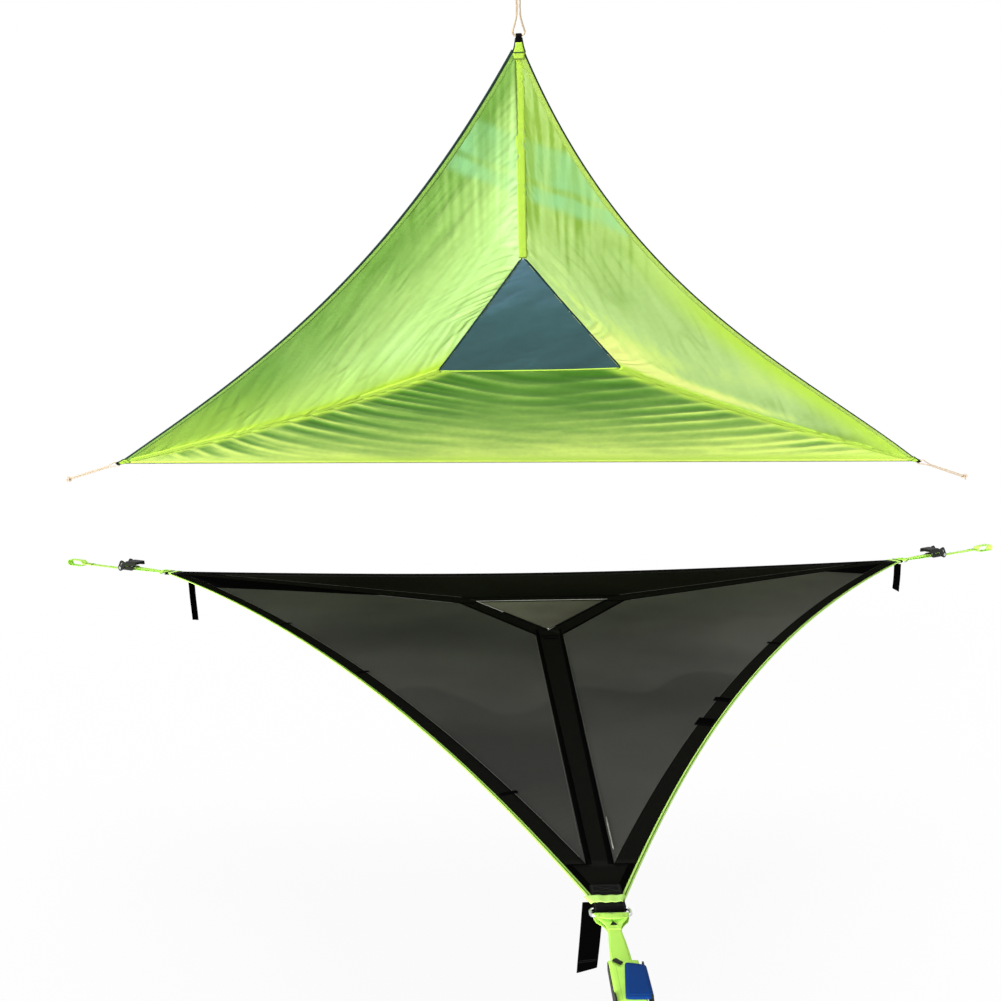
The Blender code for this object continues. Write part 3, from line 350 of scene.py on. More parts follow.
def grid_faces(rows, columns, offset=0, flip=False):
    faces = []
    for i in range(rows - 1):
        for k in range(columns - 1):
            a = offset + i * columns + k
            face = (a, a + 1, a + columns + 1, a + columns)
            faces.append(face[::-1] if flip else face)
    return faces


def outward(target):
    """Faces turned to point out of a closed mesh."""
    built = bmesh.new()
    built.from_mesh(target.data)
    bmesh.ops.recalc_face_normals(built, faces=built.faces)
    if built.calc_volume(signed=True) < 0:
        bmesh.ops.reverse_faces(built, faces=built.faces)
    built.to_mesh(target.data)
    built.free()
    return target


def slab(name, tops, bottoms, uv, material):
    """A closed solid between two grids of points, one over the other."""
    rows, columns = tops.shape[:2]
    base = rows * columns
    faces = grid_faces(rows, columns) + grid_faces(rows, columns, base, flip=True)
    rim = ([k for k in range(columns)] + [i * columns + columns - 1 for i in range(1, rows)]
           + [base - 2 - k for k in range(columns - 1)] + [i * columns for i in range(rows - 2, 0, -1)])
    for a, b in zip(rim, rim[1:] + rim[:1]):
        faces.append((a, b, b + base, a + base))
    points = np.concatenate([tops, bottoms]).reshape(-1, 3)
    return outward(mesh_object(name, points, faces, material, np.concatenate([uv, uv]).reshape(-1, 2)))


def lengths(line):
    """The distance of each point of a line from its start, along the line."""
    return np.concatenate([[0], np.cumsum(np.linalg.norm(np.diff(line, axis=0), axis=1))])


def strap(name, stations, thickness, material, columns=7):
    """Flat webbing through stations of centre, direction across, direction off its face and width."""
    centres, sides, offs, widths = (np.array([station[i] for station in stations]) for i in range(4))
    shares = np.linspace(-0.5, 0.5, columns)
    edge = np.clip(np.abs(shares) * 2 - 1 + MERGED_EDGE, 0, None) / MERGED_EDGE
    half = thickness / 2 * np.sqrt(np.clip(1 - edge ** 2, THINNEST_EDGE, None))
    flat = shares * widths[:, None]
    middle = centres[:, None] + sides[:, None] * flat[..., None]
    rise = offs[:, None] * half[None, :, None]
    uv = np.stack([flat, lengths(centres)[:, None] + 0 * flat], axis=-1)
    return slab(name, middle + rise, middle - rise, uv, material)


def stations_along(path, widths, place):
    """Stations of a strap that lies across the y axis of a frame of its own, with one width or many."""
    turn = place.to_3x3()
    stations = []
    for i, point in enumerate(path):
        ahead = (path[min(i + 1, len(path) - 1)] - path[max(i - 1, 0)]).normalized()
        side = Vector((0, 1, 0))
        side = (side - ahead * side.dot(ahead)).normalized()
        wide = widths[i] if isinstance(widths, list) else widths
        stations.append((place @ point, turn @ side, turn @ side.cross(ahead), wide))
    return stations


def upright(path, lateral=0.0):
    """Places in the x-z plane of a frame."""
    return [Vector((x, lateral, z)) for x, z in path]


def smooth_path(points, steps):
    """A curve through points, with steps between each pair."""
    places = [Vector(p) for p in points]
    ends = [places[0] * 2 - places[1]] + places + [places[-1] * 2 - places[-2]]
    curve = []
    for before, here, there, after in zip(ends, ends[1:], ends[2:], ends[3:]):
        size = (there - here).length
        leave = (there - before).normalized() * size
        arrive = (after - here).normalized() * size
        for i in range(steps):
            t = i / steps
            fade = 2 * t ** 3 - 3 * t ** 2
            curve.append(here * (1 + fade) - there * fade + leave * (t ** 3 - 2 * t ** 2 + t)
                         + arrive * (t ** 3 - t ** 2))
    return curve + [places[-1]]


def arc(centre, radius, first, last, steps):
    angles = [math.radians(first + (last - first) * i / steps) for i in range(steps + 1)]
    return [(centre[0] + radius * math.cos(angle), centre[1] + radius * math.sin(angle)) for angle in angles]


def widened(path, widths, most):
    """A strap's places and widths with no step longer than most."""
    places = [Vector(point) for point in path]
    fine, wide = [], []
    for i in range(len(places) - 1):
        steps = max(1, math.ceil((places[i + 1] - places[i]).length / most))
        for n in range(steps):
            fine.append(places[i].lerp(places[i + 1], n / steps))
            wide.append(widths[i] + (widths[i + 1] - widths[i]) * n / steps)
    return fine + [places[-1]], wide + [widths[-1]]


def densify(path, most):
    """The same path with no step longer than most."""
    return widened(path, [0.0] * len(path), most)[0]


def tube(name, path, radius, material, sides=8, closed=False):
    """A round solid along a path, of one radius or many, with its rings kept from twisting."""
    places = [Vector(p) for p in path]
    count = len(places)
    points, uv = [], []
    normal = None
    travel = 0.0
    for i, place in enumerate(places):
        before = places[i - 1] if closed or i else place
        after = places[(i + 1) % count] if closed or i < count - 1 else place
        ahead = (after - before).normalized()
        if normal is None:
            normal = ahead.orthogonal().normalized()
        normal = (normal - ahead * normal.dot(ahead)).normalized()
        other = ahead.cross(normal)
        travel += (place - places[i - 1]).length if i else 0.0
        size = radius[i] if isinstance(radius, list) else radius
        for k in range(sides):
            angle = 2 * math.pi * k / sides
            points.append(place + (normal * math.cos(angle) + other * math.sin(angle)) * size)
            uv.append((size * angle, travel))
    faces = []
    for i in range(count if closed else count - 1):
        a, b = i * sides, ((i + 1) % count) * sides
        for k in range(sides):
            j = (k + 1) % sides
            faces.append((a + k, a + j, b + j, b + k))
    if not closed:
        faces.append(tuple(range(sides))[::-1])
        faces.append(tuple(range((count - 1) * sides, count * sides)))
    return outward(mesh_object(name, points, faces, material, uv))


def join(name, pieces):
    """Several meshes as one object, each with its own material."""
    for other in bpy.context.view_layer.objects:
        other.select_set(False)
    for piece in pieces:
        piece.select_set(True)
    bpy.context.view_layer.objects.active = pieces[0]
    bpy.ops.object.join()
    joined = bpy.context.view_layer.objects.active
    joined.select_set(False)
    joined.name = name
    joined.data.name = name
    return joined


def put(piece, body, *nodes):
    """A piece that rides on a body and stands for the CAD nodes that it replaces."""
    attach(piece, body)
    if nodes:
        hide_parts(*nodes)
    return piece


# The plan of the bed and the canopy, the same as in the CAD
BED_SIDE = 4.10
BED_BOW = 0.186
BED_EDGE = 0.014
BED_RIM = 0.042
BED_TIP_CUT = 0.082
BED_TIP_WIDTH = 0.038
BED_BAND = (0.110, 0.054)
BED_BORDER = 0.087
BED_DIP, BED_DIP_INNER, BED_DIP_OUTER = 0.006, 0.55, 1.90
HATCH_SIDE = 0.594
HATCH_SHIFT = 0.200
CORNERS = ("front", "right", "left")
CORNER_TURNS = (-90, 30, 150)
BED_SIDES = ("right", "rear", "left")
CANOPY_SLOPE = 2.602
CANOPY_BASE = 4.346
CANOPY_TIP_U = -0.066
CANOPY_SAG = 0.050
CANOPY_TIP_CUT = 0.048
CANOPY_TIP_WIDTH = 0.028
CANOPY_EDGE = 0.022
CANOPY_SEAM = 0.032
CANOPY_SEAM_BOW = 0.042
CANOPY_BOWS = (0.163, 0.0, 0.192)
CANOPY_SKEWS = (0.32, 0.0, -0.62)
VENT = ((-0.028, 1.641), (-0.393, 0.910), (0.437, 0.927))
VENT_BORDER = 0.008
CANOPY_PLACE = (-0.073, 1.184, 0.573)
CANOPY_LEAN, CANOPY_PITCH = 0.71, -36.0
CANOPY_FRAME = (Matrix.Translation(CANOPY_PLACE) @ Matrix.Rotation(math.radians(CANOPY_LEAN), 4, "Y")
                @ Matrix.Rotation(math.radians(CANOPY_PITCH), 4, "X"))
CANOPY_CORNERS = ("front", "left", "right")
CANOPY_SIDES = ("left", "rear", "right")


def solve(function, low, high):
    rising = function(low) > 0
    for _ in range(50):
        middle = (low + high) / 2
        if (function(middle) > 0) == rising:
            low = middle
        else:
            high = middle
    return (low + high) / 2


class Sheet:
    """The plan of a three-corner sheet, with lines as fine as wanted."""

    def __init__(self, corners, bows, skews, hatch, edge, rim, tip_cut, tip_width, band, band_bows, border):
        self.corners = np.array(corners, float)
        self.bows, self.skews = bows, skews
        self.hatch = np.array(hatch, float)
        self.edge, self.rim = edge, rim
        self.tip_cut, self.tip_width = tip_cut, tip_width
        self.band, self.band_bows, self.border = band, band_bows, border
        out = self.corners - self.hatch
        self.lengths = np.linalg.norm(out, axis=1)
        self.axes = out / self.lengths[:, None]
        self.crosses = np.stack([-self.axes[:, 1], self.axes[:, 0]], axis=1)

    def side(self, k, t, depth):
        """The place at a share of side k and a depth in from it."""
        t = np.asarray(t, float)[..., None]
        first = self.corners[k]
        run = self.corners[(k + 1) % 3] - first
        normal = np.array((-run[1], run[0])) / np.hypot(*run)
        full, skew = 4 * self.bows[k], self.skews[k]
        skewed = 1 + skew * (1 - 2 * t)
        slope = run + normal * full * ((1 - 2 * t) * skewed - 2 * skew * t * (1 - t))
        square = np.stack([-slope[..., 1], slope[..., 0]], axis=-1)
        square /= np.linalg.norm(square, axis=-1, keepdims=True)
        return first + run * t + normal * full * t * (1 - t) * skewed + square * depth

    def beside(self, k, ahead, t, depth):
        """The same on the side that leaves corner k, or on the one that arrives there."""
        return self.side(k if ahead else (k + 2) % 3, t, depth)

    def share_at(self, k, ahead, place, depth):
        def beyond(t):
            return (self.beside(k, ahead, t, depth) - self.corners[k]) @ self.axes[k] - place
        return solve(beyond, 0.0, 0.5) if ahead else solve(beyond, 0.5, 1.0)

    def band_point(self, k, ahead, place, spare):
        place = np.asarray(place, float)[..., None]
        share = np.clip(1 + place / self.lengths[k], 0.0, 1.0)
        half = (self.band[0] + (self.band[1] - self.band[0]) * share) / 2 + spare
        bow = self.band_bows[k] * 4 * share * (1 - share)
        return self.corners[k] + self.axes[k] * place + self.crosses[k] * (bow + (1 if ahead else -1) * half)

    def junction(self, k, ahead, spare):
        """Where the edge of band k meets the inner line of the rim."""
        depth = self.edge + self.rim + spare
        sign = 1 if ahead else -1

        def room(place):
            rim = self.beside(k, ahead, self.share_at(k, ahead, place, depth), depth)
            return ((rim - self.band_point(k, ahead, place, spare)) @ self.crosses[k]) * sign
        return solve(room, -0.45 * self.lengths[k], -self.tip_cut)

    def band_start(self, k, ahead, spare):
        """Where the edge of band k meets the hatch border."""
        a = self.hatch[k]
        b = self.hatch[(k + 1) % 3 if ahead else (k + 2) % 3]
        other = self.hatch[(k + 2) % 3 if ahead else (k + 1) % 3]
        run = (b - a) / np.hypot(*(b - a))
        normal = np.array((-run[1], run[0]))
        if (other - a) @ normal > 0:
            normal = -normal

        def beyond(place):
            return (self.band_point(k, ahead, place, spare) - a) @ normal - self.border - spare
        return solve(beyond, -self.lengths[k] - self.band[0], -0.4 * self.lengths[k])

    def side_line(self, k, first, last, depth, count):
        """A line along a side, from a place on one corner's axis to one on the next corner's."""
        low = self.share_at(k, True, first, depth)
        high = self.share_at((k + 1) % 3, False, last, depth)
        return self.side(k, np.linspace(low, high, count), depth)

    def rim_line(self, k, spare, depth, count):
        """A line along a side between the bands that end it."""
        return self.side_line(k, self.junction(k, True, spare), self.junction((k + 1) % 3, False, spare),
                              depth, count)

    def outer_line(self, k, cut, depth, count):
        """A line along a side between places as far in from both corners."""
        return self.side_line(k, -cut, -cut, depth, count)

    def band_line(self, k, ahead, spare, count):
        """The edge of a band, from where it meets the side in to the hatch border."""
        places = np.linspace(self.junction(k, ahead, spare), self.band_start(k, ahead, spare), count)
        return self.band_point(k, ahead, places, spare)

    def patch(self, k, spare, columns, rows):
        """A grid over panel k: its first row is along the side, its last along the hatch border."""
        outer = self.rim_line(k, spare, self.edge + self.rim + spare, columns)
        first = self.band_line(k, True, spare, rows)
        last = self.band_line((k + 1) % 3, False, spare, rows)
        across = np.linspace(0, 1, columns)[None, :, None]
        deep = np.linspace(0, 1, rows)[:, None, None]
        inner = first[-1] + (last[-1] - first[-1]) * across[0]
        grid = ((1 - deep) * outer[None] + deep * inner[None]
                + (1 - across) * first[:, None] + across * last[:, None]
                - (1 - across) * (1 - deep) * first[0] - across * (1 - deep) * last[0]
                - (1 - across) * deep * first[-1] - across * deep * last[-1])
        return grid, across[..., 0] + 0 * deep[..., 0], deep[..., 0] + 0 * across[..., 0]


def around(radius):
    return [(radius * math.cos(math.radians(a)), radius * math.sin(math.radians(a))) for a in CORNER_TURNS]


BED = Sheet(around(BED_SIDE / math.sqrt(3)), (BED_BOW,) * 3, (0.0,) * 3,
            [(x, y + HATCH_SHIFT) for x, y in around(HATCH_SIDE / math.sqrt(3))], BED_EDGE, BED_RIM,
            BED_TIP_CUT, BED_TIP_WIDTH, BED_BAND, (0.0,) * 3, BED_BORDER)
CANOPY = Sheet(((CANOPY_TIP_U, CANOPY_SLOPE), (-CANOPY_BASE / 2, 0), (CANOPY_BASE / 2, 0)), CANOPY_BOWS,
               CANOPY_SKEWS, VENT, CANOPY_EDGE, 0.0, CANOPY_TIP_CUT, CANOPY_TIP_WIDTH, (CANOPY_SEAM,) * 2,
               (0.0, CANOPY_SEAM_BOW, -CANOPY_SEAM_BOW), VENT_BORDER)


def step(values, low, high):
    """0 below low, 1 above high and smooth between them."""
    share = np.clip((values - low) / (high - low), 0, 1)
    return share * share * (3 - 2 * share)


def bed_lift(flat, height):
    """Points of the bed's plan at a height above its mesh."""
    flat = np.asarray(flat, float)
    dip = BED_DIP * (1 - step(np.hypot(flat[..., 0], flat[..., 1]), BED_DIP_INNER, BED_DIP_OUTER))
    return np.concatenate([flat, (height - dip)[..., None]], axis=-1)


def canopy_lift(flat, height):
    """Points of the canopy's plan at a height off the upper side of its cloth."""
    flat = np.asarray(flat, float)
    top = flat[..., 1] / CANOPY_SLOPE
    right = (1 - top) / 2 + (flat[..., 0] - CANOPY_TIP_U * top) / CANOPY_BASE
    left = 1 - top - right
    sag = CANOPY_SAG * 27 * np.clip(top, 0, None) * np.clip(left, 0, None) * np.clip(right, 0, None)
    local = np.stack([flat[..., 0], -flat[..., 1], height - sag], axis=-1)
    turn = np.array(CANOPY_FRAME)
    return local @ turn[:3, :3].T + turn[:3, 3]


def field(points, scale, seed):
    """Smooth noise over flat points, about -1 to 1."""
    flat = points.reshape(-1, 2) * np.asarray(scale, float)
    return np.array([noise.noise((x, y, seed)) for x, y in flat]).reshape(points.shape[:-1])


def turned(flat, way):
    """Flat points as how far they lie along one way and across it."""
    return flat @ np.array(((way[0], -way[1]), (way[1], way[0])))


def hump(values, middle, reach):
    """1 at the middle, and less by the bell curve on both sides."""
    return np.exp(-((values - middle) / reach) ** 2)


def sheet_object(name, grid, heights, lift, material, tone, thickness, marks=()):
    """A grid of cloth with a thickness, its weave running with its plan."""
    rows, columns = grid.shape[:2]
    points = lift(grid, heights).reshape(-1, 3)
    made = mesh_object(name, points, grid_faces(rows, columns, flip=lift is not canopy_lift), material,
                       grid.reshape(-1, 2), np.clip(tone, 0, 1).ravel())
    for mark, values in marks:
        layer = made.data.attributes.new(mark, "FLOAT", "POINT")
        layer.data.foreach_set("value", np.asarray(values, np.float32).ravel())
    solid = made.modifiers.new("thickness", "SOLIDIFY")
    solid.thickness = thickness
    solid.offset = 0.0
    return made


TAPE_THINNING = 0.45
RIPPLE_SCALE, RIPPLE_SEED = 55.0, 3.0


def tape(name, left, right, lift, span, material, columns=5, ripple=0.0):
    """A band between two lines of the plan and two heights, a little thinner at its edges."""
    low, high = span
    shares = np.linspace(0, 1, columns)
    flat = left[:, None] * (1 - shares[None, :, None]) + right[:, None] * shares[None, :, None]
    wave = field(flat, RIPPLE_SCALE, RIPPLE_SEED) * ripple if ripple else 0.0
    half = (high - low) / 2 * (1 - TAPE_THINNING * np.abs(2 * shares - 1) ** 4)[None]
    middle = (low + high) / 2 + wave
    width = np.linalg.norm(right - left, axis=1)
    uv = np.stack([(shares[None] - 0.5) * width[:, None], lengths(left)[:, None] + 0 * shares[None]], axis=-1)
    return slab(name, lift(flat, middle + half), lift(flat, middle - half), uv, material)


def seam_lines(sheet, k, steps):
    """Both edges of band k, from the tip of the hatch out to the webbing across the corner."""
    end = -sheet.tip_cut - sheet.tip_width + 0.002
    lines = []
    for ahead in (False, True):
        meet = sheet.junction(k, ahead, 0.0)
        row = list(sheet.band_point(k, ahead, np.linspace(-sheet.lengths[k], meet, steps), 0.0))
        for place in np.linspace(meet, end, 10)[0 if sheet.rim else 1:]:
            row.append(sheet.beside(k, ahead, sheet.share_at(k, ahead, place, sheet.edge), sheet.edge))
        lines.append(np.array(row))
    return lines


def edge_lines(sheet, k, steps):
    """The outer and inner lines of the webbing along side k and across the corner after it."""
    lines = []
    for cut, depth in ((sheet.tip_cut, 0.0), (sheet.tip_cut + sheet.tip_width, sheet.edge)):
        row = sheet.outer_line(k, cut, depth, steps)
        following = sheet.outer_line((k + 1) % 3, cut, depth, 2)[0]
        shares = np.array((0.25, 0.5, 0.75, 1.0))[:, None]
        lines.append(np.concatenate([row, row[-1] + (following - row[-1]) * shares]))
    return lines


def border_lines(sheet, k, steps):
    """The inner and outer lines of the border along side k of the hatch."""
    after = (k + 1) % 3
    first = sheet.band_point(k, True, sheet.band_start(k, True, 0.0), 0.0)
    last = sheet.band_point(after, False, sheet.band_start(after, False, 0.0), 0.0)
    shares = np.linspace(0, 1, steps)[:, None]
    return [a + (b - a) * shares for a, b in ((sheet.hatch[k], sheet.hatch[after]), (first, last))]


def fan(tip, left, right, rows, columns):
    """A grid over a triangle, from near its tip to its far side, and how far down each row lies."""
    shares = np.linspace(0.03, 1, rows)[:, None]
    first, last = tip + (left - tip) * shares, tip + (right - tip) * shares
    return first[:, None] + (last - first)[:, None] * np.linspace(0, 1, columns)[None, :, None], shares


def hung(grid):
    """Works out a flat panel's width and length along its first row and its area, and keeps none of them."""
    along = (grid[0, -1] - grid[0, 0]) / np.linalg.norm(grid[0, -1] - grid[0, 0])
    flat = grid.reshape(-1, 2)
    size = [float(np.ptp(flat @ axis)) for axis in (np.array((-along[1], along[0])), along)]
    one, two = grid[1:, 1:] - grid[:-1, :-1], grid[1:, :-1] - grid[:-1, 1:]
    area = float(np.abs(one[..., 0] * two[..., 1] - one[..., 1] * two[..., 0]).sum() / 2)


# Cords: each canopy corner has one cord doubled through its tab
TAB_WIDTH = 0.030
TAB_REACH = 0.058
CORD_DIAMETER = 0.006
CORD_SPREAD = 0.011
LOOP_HALF = 0.0095
CORD_TURN = 0.009
CORD_SETTLE = 0.048
CORD_REACH = 0.420
CANOPY_WEBBING = 0.0028
KNOT_STEPS = 48


def canopy_corner(k):
    """The frame at a canopy corner's cut end: x runs out along the corner, z is off the cloth."""
    place = CANOPY.corners[k] - CANOPY.axes[k] * CANOPY.tip_cut
    out = Vector((CANOPY.axes[k][0], -CANOPY.axes[k][1], 0))
    up = Vector((0, 0, 1))
    turn = Matrix((out, up.cross(out), up)).transposed().to_3x3()
    return Matrix.Translation(Vector(canopy_lift(place, 0.0))) @ (CANOPY_FRAME.to_3x3() @ turn).to_4x4()


def strand_route(side):
    """One strand, out of the middle of the tab and round to its far end."""
    spread = CORD_SPREAD / 2
    wide = LOOP_HALF + CORD_TURN
    settled = TAB_REACH + CORD_SETTLE
    places = [(TAB_REACH, 0.0), (TAB_REACH + CORD_DIAMETER * 0.05, wide - CORD_TURN * 0.6),
              (TAB_REACH + CORD_DIAMETER, wide - CORD_TURN * 0.15), (TAB_REACH + CORD_SETTLE * 0.3, wide),
              (TAB_REACH + CORD_SETTLE * 0.7, wide * 0.7), (settled + CORD_SETTLE / 2, spread),
              (CORD_REACH / 2, spread), (CORD_REACH, spread)]
    return [(x, y * side, CANOPY_WEBBING / 2) for x, y in places]


def knot(name, place, size, radius):
    """A tightened overhand knot."""
    path = []
    for i in range(KNOT_STEPS):
        a = 2 * math.pi * i / KNOT_STEPS
        turn = Vector((math.sin(3 * a) * -2.2, math.sin(a) + 2 * math.sin(2 * a),
                       math.cos(a) - 2 * math.cos(2 * a)))
        path.append(place @ (turn * size / 2))
    return tube(name, path, radius, TAN, 10, closed=True)


def make_cords(k, corner):
    place = canopy_corner(k)
    end_knot = knot(f"cord_knot_{corner}", place @ Matrix.Translation((CORD_REACH, 0, CANOPY_WEBBING / 2)),
                    CORD_DIAMETER * 1.5, CORD_DIAMETER * 0.52)
    put(end_knot, "root")
    for side, mark in ((1, "a"), (-1, "b")):
        path = [place @ p for p in smooth_path(strand_route(side), 8)]
        strand = tube(f"cord_{corner}_{mark}", path, CORD_DIAMETER / 2, TAN, 12)
        put(strand, "root", *([f"canopy_cord_{corner}"] if side == 1 else []))
        length = sum((b - a).length for a, b in zip(path, path[1:]))


for index, corner_name in enumerate(CANOPY_CORNERS):
    make_cords(index, corner_name)


# Canopy cloth. A layer of folds is a pattern, its depth in metres and the highlight it paints into the
# cloth's tone, painted shade where that is below 0
CLOTH = 0.0008
CLOTH_RISE = 0.0008
UNDER = -0.010
COLUMNS, ROWS = 240, 110
REAR_WIDTH, REAR_TAPER = 4.1, 3.3
SIDE_WIDTH, SIDE_TAPER = 3.3, 2.4
LEFT_WAY, RIGHT_WAY, VENT_WAY = (0.52, 0.85), (-0.50, 0.87), (0.87, 0.50)


def layered(layers, edge):
    """The height of layers of folds, which fade out towards the seams, and the painted highlight and shade
    that they add to the tone.
    """
    height = sum(pattern * depth for pattern, depth, _ in layers)
    return CLOTH_RISE + height * edge, sum(pattern * shade for pattern, _, shade in layers)


def inside(share, near, far):
    """0 at both ends of a panel and 1 from a share in from each."""
    return step(share, 0.0, near) * step(1 - share, 0.0, far)


def drag_folds(away, deep, flat, count, droop, settle, reach):
    """Folds that leave a seam, a distance away, and run inward and down, from -0.45 to 0.55."""
    slide = deep + droop * (1 - 0.5 * deep) * (1 - np.exp(-away / settle))
    slide = slide + 0.030 * field(flat, (1.6, 3.0), 4.0)
    ridge = (1 - np.abs(np.sin(math.pi * count * slide))) ** 1.2
    place = np.stack([flat[..., 0] * 1.5, slide * 9.0], axis=-1)
    strong = np.clip(0.95 + 1.3 * field(place, 1.0, 7.0), 0.0, 1.8)
    return (ridge - 0.45) * np.exp(-(away / reach) ** 1.3) * strong


def wrinkles(flat, way, seed, scale):
    """Thin creases that run one way, in patches, as ridges from 0 to 1."""
    place = turned(flat, way)
    place[..., 1] += 0.02 * field(flat, 3.0, seed + 1)
    ridge = 1 - np.clip(np.abs(field(place, scale, seed)) * 5, 0, 1)
    return ridge * step(field(flat, (2.2, 2.8), seed + 2), -0.15, 0.40)


def rear_cloth(flat, across, deep):
    width = REAR_WIDTH - REAR_TAPER * deep
    first, last = across * width, (1 - across) * width
    nearest = np.minimum(first, last)
    folds = (drag_folds(first, deep, flat, 15.0, 0.48, 1.0, 0.62)
             + 0.8 * drag_folds(first, deep, flat + 5.0, 29.0, 0.48, 1.0, 0.40)
             + 0.8 * drag_folds(last, deep, flat + 9.0, 13.0, 0.16, 0.8, 0.60)) * step(deep, 0.03, 0.15)
    level = field(flat @ np.array(((2.0, 3.0), (0.0, 16.0))), 1.0, 5.0)
    layers = ((folds * step(nearest, 0.0, 0.03), 0.007, 0.80), (field(flat, (1.6, 3.2), 1.0), 0.003, 0.06),
              (level, 0.002, 0.12), (field(flat, (9.0, 22.0), 2.0), 0.001, 0.05))
    height, tone = layered(layers, inside(deep, 0.10, 0.05))
    # Painted light and shade: besides the painted highlight on the folds, the cloth is lighter towards the
    # hem and one side, with a painted highlight along the seams and a painted yellow-lime highlight just
    # above the hem.
    tone = (tone + 0.25 + 0.68 * (1 - deep) ** 0.85
            + 0.16 * step(across, 0.30, 0.75) * (1 - step(deep, 0.05, 0.7)))
    seam = hump(nearest, 0.02, 0.045) * step(deep, 0.04, 0.15)
    lime = 0.75 * (1 - step(deep, 0.02, 0.13)) * step(across, 0.15, 0.35) + 0.7 * seam
    return height, tone + 0.55 * seam * (1 - tone), lime


def side_cloth(flat, across, deep, way, seed, shade):
    """A side panel: fine wrinkles that run one way, puckers at its seams and a slow billow, with painted
    highlight and shade on them and painted streaks of light and shade high up near the tip.
    """
    place = turned(flat, way)
    tip = step(flat[..., 1], 1.9, 2.5)
    calm = 1 - 0.8 * tip
    near = np.minimum(across, 1 - across)
    inner = np.minimum(near, (1 - deep) * 0.25)
    slant = deep * 46.0 + near * 30.0 + across * 22.0
    pucker = field(np.stack([inner * 16.0, slant], axis=-1), 1.0, seed + 8) * np.exp(-inner / 0.045)
    streak = field(flat @ np.array(((55.0, 2.0), (0.0, 1.3))), 1.0, seed + 14) * step(flat[..., 1], 1.5, 2.3)
    layers = ((field(place, (2.2, 22.0), seed) * calm, 0.0030, 0.09),
              (field(place, (5.0, 55.0), seed + 5) * calm, 0.0010, 0.05),
              (field(flat, 1.4, seed + 2), 0.006, 0.09), (pucker * (1 - 0.7 * tip), 0.0060, 0.20),
              (wrinkles(flat, way, seed + 11, (3.0, 24.0)) * calm, 0.003, -0.15), (streak, 0.0, 0.50))
    height, change = layered(layers, inside(deep, 0.06, 0.05))
    tone, lime = shade(flat, across, deep)
    return height, tone + change, lime


# The left panel's light and shade, painted into its tone and lime marks: darker at the hem, lighter inward
# and high up, darker towards the left corner, and a painted yellow-lime highlight along that corner's seam.
def left_shade(flat, across, deep):
    tone = (0.08 + 0.76 * step(deep, -0.08, 0.75)
            + 0.25 * (1 - step(across, 0.02, 0.14)) * step(deep, 0.05, 0.2)
            + 0.10 * step(flat[..., 1], 1.6, 2.1) * step(deep, -0.05, 0.25)
            - 0.28 * step(across, 0.50, 0.80) * (1 - step(deep, 0.10, 0.45)))
    seam = hump((1 - across) * (SIDE_WIDTH - SIDE_TAPER * deep), 0.0, 0.10) * step(deep, 0.05, 0.3)
    return tone + 0.15 * seam, 0.45 * step(across, 0.60, 0.98) + 0.80 * seam


# The right panel's light and shade, painted into its tone and lime marks: lighter inward and in a pale band
# by the lower seam, painted dark streaks of shade by the tip, darker by the right corner, and painted
# yellow-lime highlights along the seam, the hem and up by the tip.
def right_shade(flat, across, deep):
    streak = field(turned(flat, (0.12, -0.99)), (1.3, 48.0), 71.0)
    top = step(flat[..., 1], 1.30, 2.20)
    off = across * (SIDE_WIDTH - SIDE_TAPER * deep)
    tone = (0.42 + 0.34 * step(deep, 0.45, 0.95) * (1 - top) + 0.12 * (1 - step(deep, 0.0, 0.2))
            + 0.50 * hump(off, 0.13, 0.10) * step(deep, 0.2, 0.5) + 0.20 * hump(across, 0.30, 0.12)
            - (0.10 + 1.3 * np.clip(streak, 0, 1)) * top
            - 0.30 * (1 - step(across, 0.02, 0.10)) * (1 - step(deep, 0.3, 0.6)))
    lime = 0.9 * hump(off, 0.0, 0.05) * step(deep, 0.05, 0.3)
    hem = (1 - step(deep, 0.02, 0.28)) * (1 - step(across, 0.45, 0.8))
    return tone, lime + 0.95 * hem + 0.22 * top


def painted_light_bands(flat):
    """Painted light: two paler mint bands of light that cross both side panels below the tip, with a thin
    line between them.
    """
    place = flat[..., 1] + 0.48 * (flat[..., 0] + 0.07) + 0.012 * field(flat, 9.0, 77.0)
    band = step(place, 1.945, 1.990) * (1 - step(place, 2.205, 2.250))
    line = step(place, 2.030, 2.052) * (1 - step(place, 2.058, 2.085))
    pale = step(flat[..., 0], -0.20, -0.03) * (flat[..., 0] < 0)
    return band * (1 - 0.75 * line) * (1 - 0.60 * pale) * (0.72 + 0.6 * field(flat, (14.0, 5.0), 78.0))


def make_canopy_cloth():
    for k, (side, stuff) in enumerate(zip(CANOPY_SIDES, (LEFT_CLOTH, REAR_CLOTH, RIGHT_CLOTH))):
        grid, across, deep = CANOPY.patch(k, UNDER, COLUMNS, ROWS)
        if side == "left":
            heights, tone, lime = side_cloth(grid, across, deep, LEFT_WAY, 20.0, left_shade)
        elif side == "right":
            heights, tone, lime = side_cloth(grid, across, deep, RIGHT_WAY, 40.0, right_shade)
        else:
            heights, tone, lime = rear_cloth(grid, across, deep)
        panel = sheet_object(f"canopy_cloth_{side}", grid, heights, canopy_lift, stuff, tone, CLOTH,
                             (("painted_light", painted_light_bands(grid)), ("lime", np.clip(lime, 0, 1))))
        put(panel, "root", f"canopy_panel_{side}")
        hung(grid)


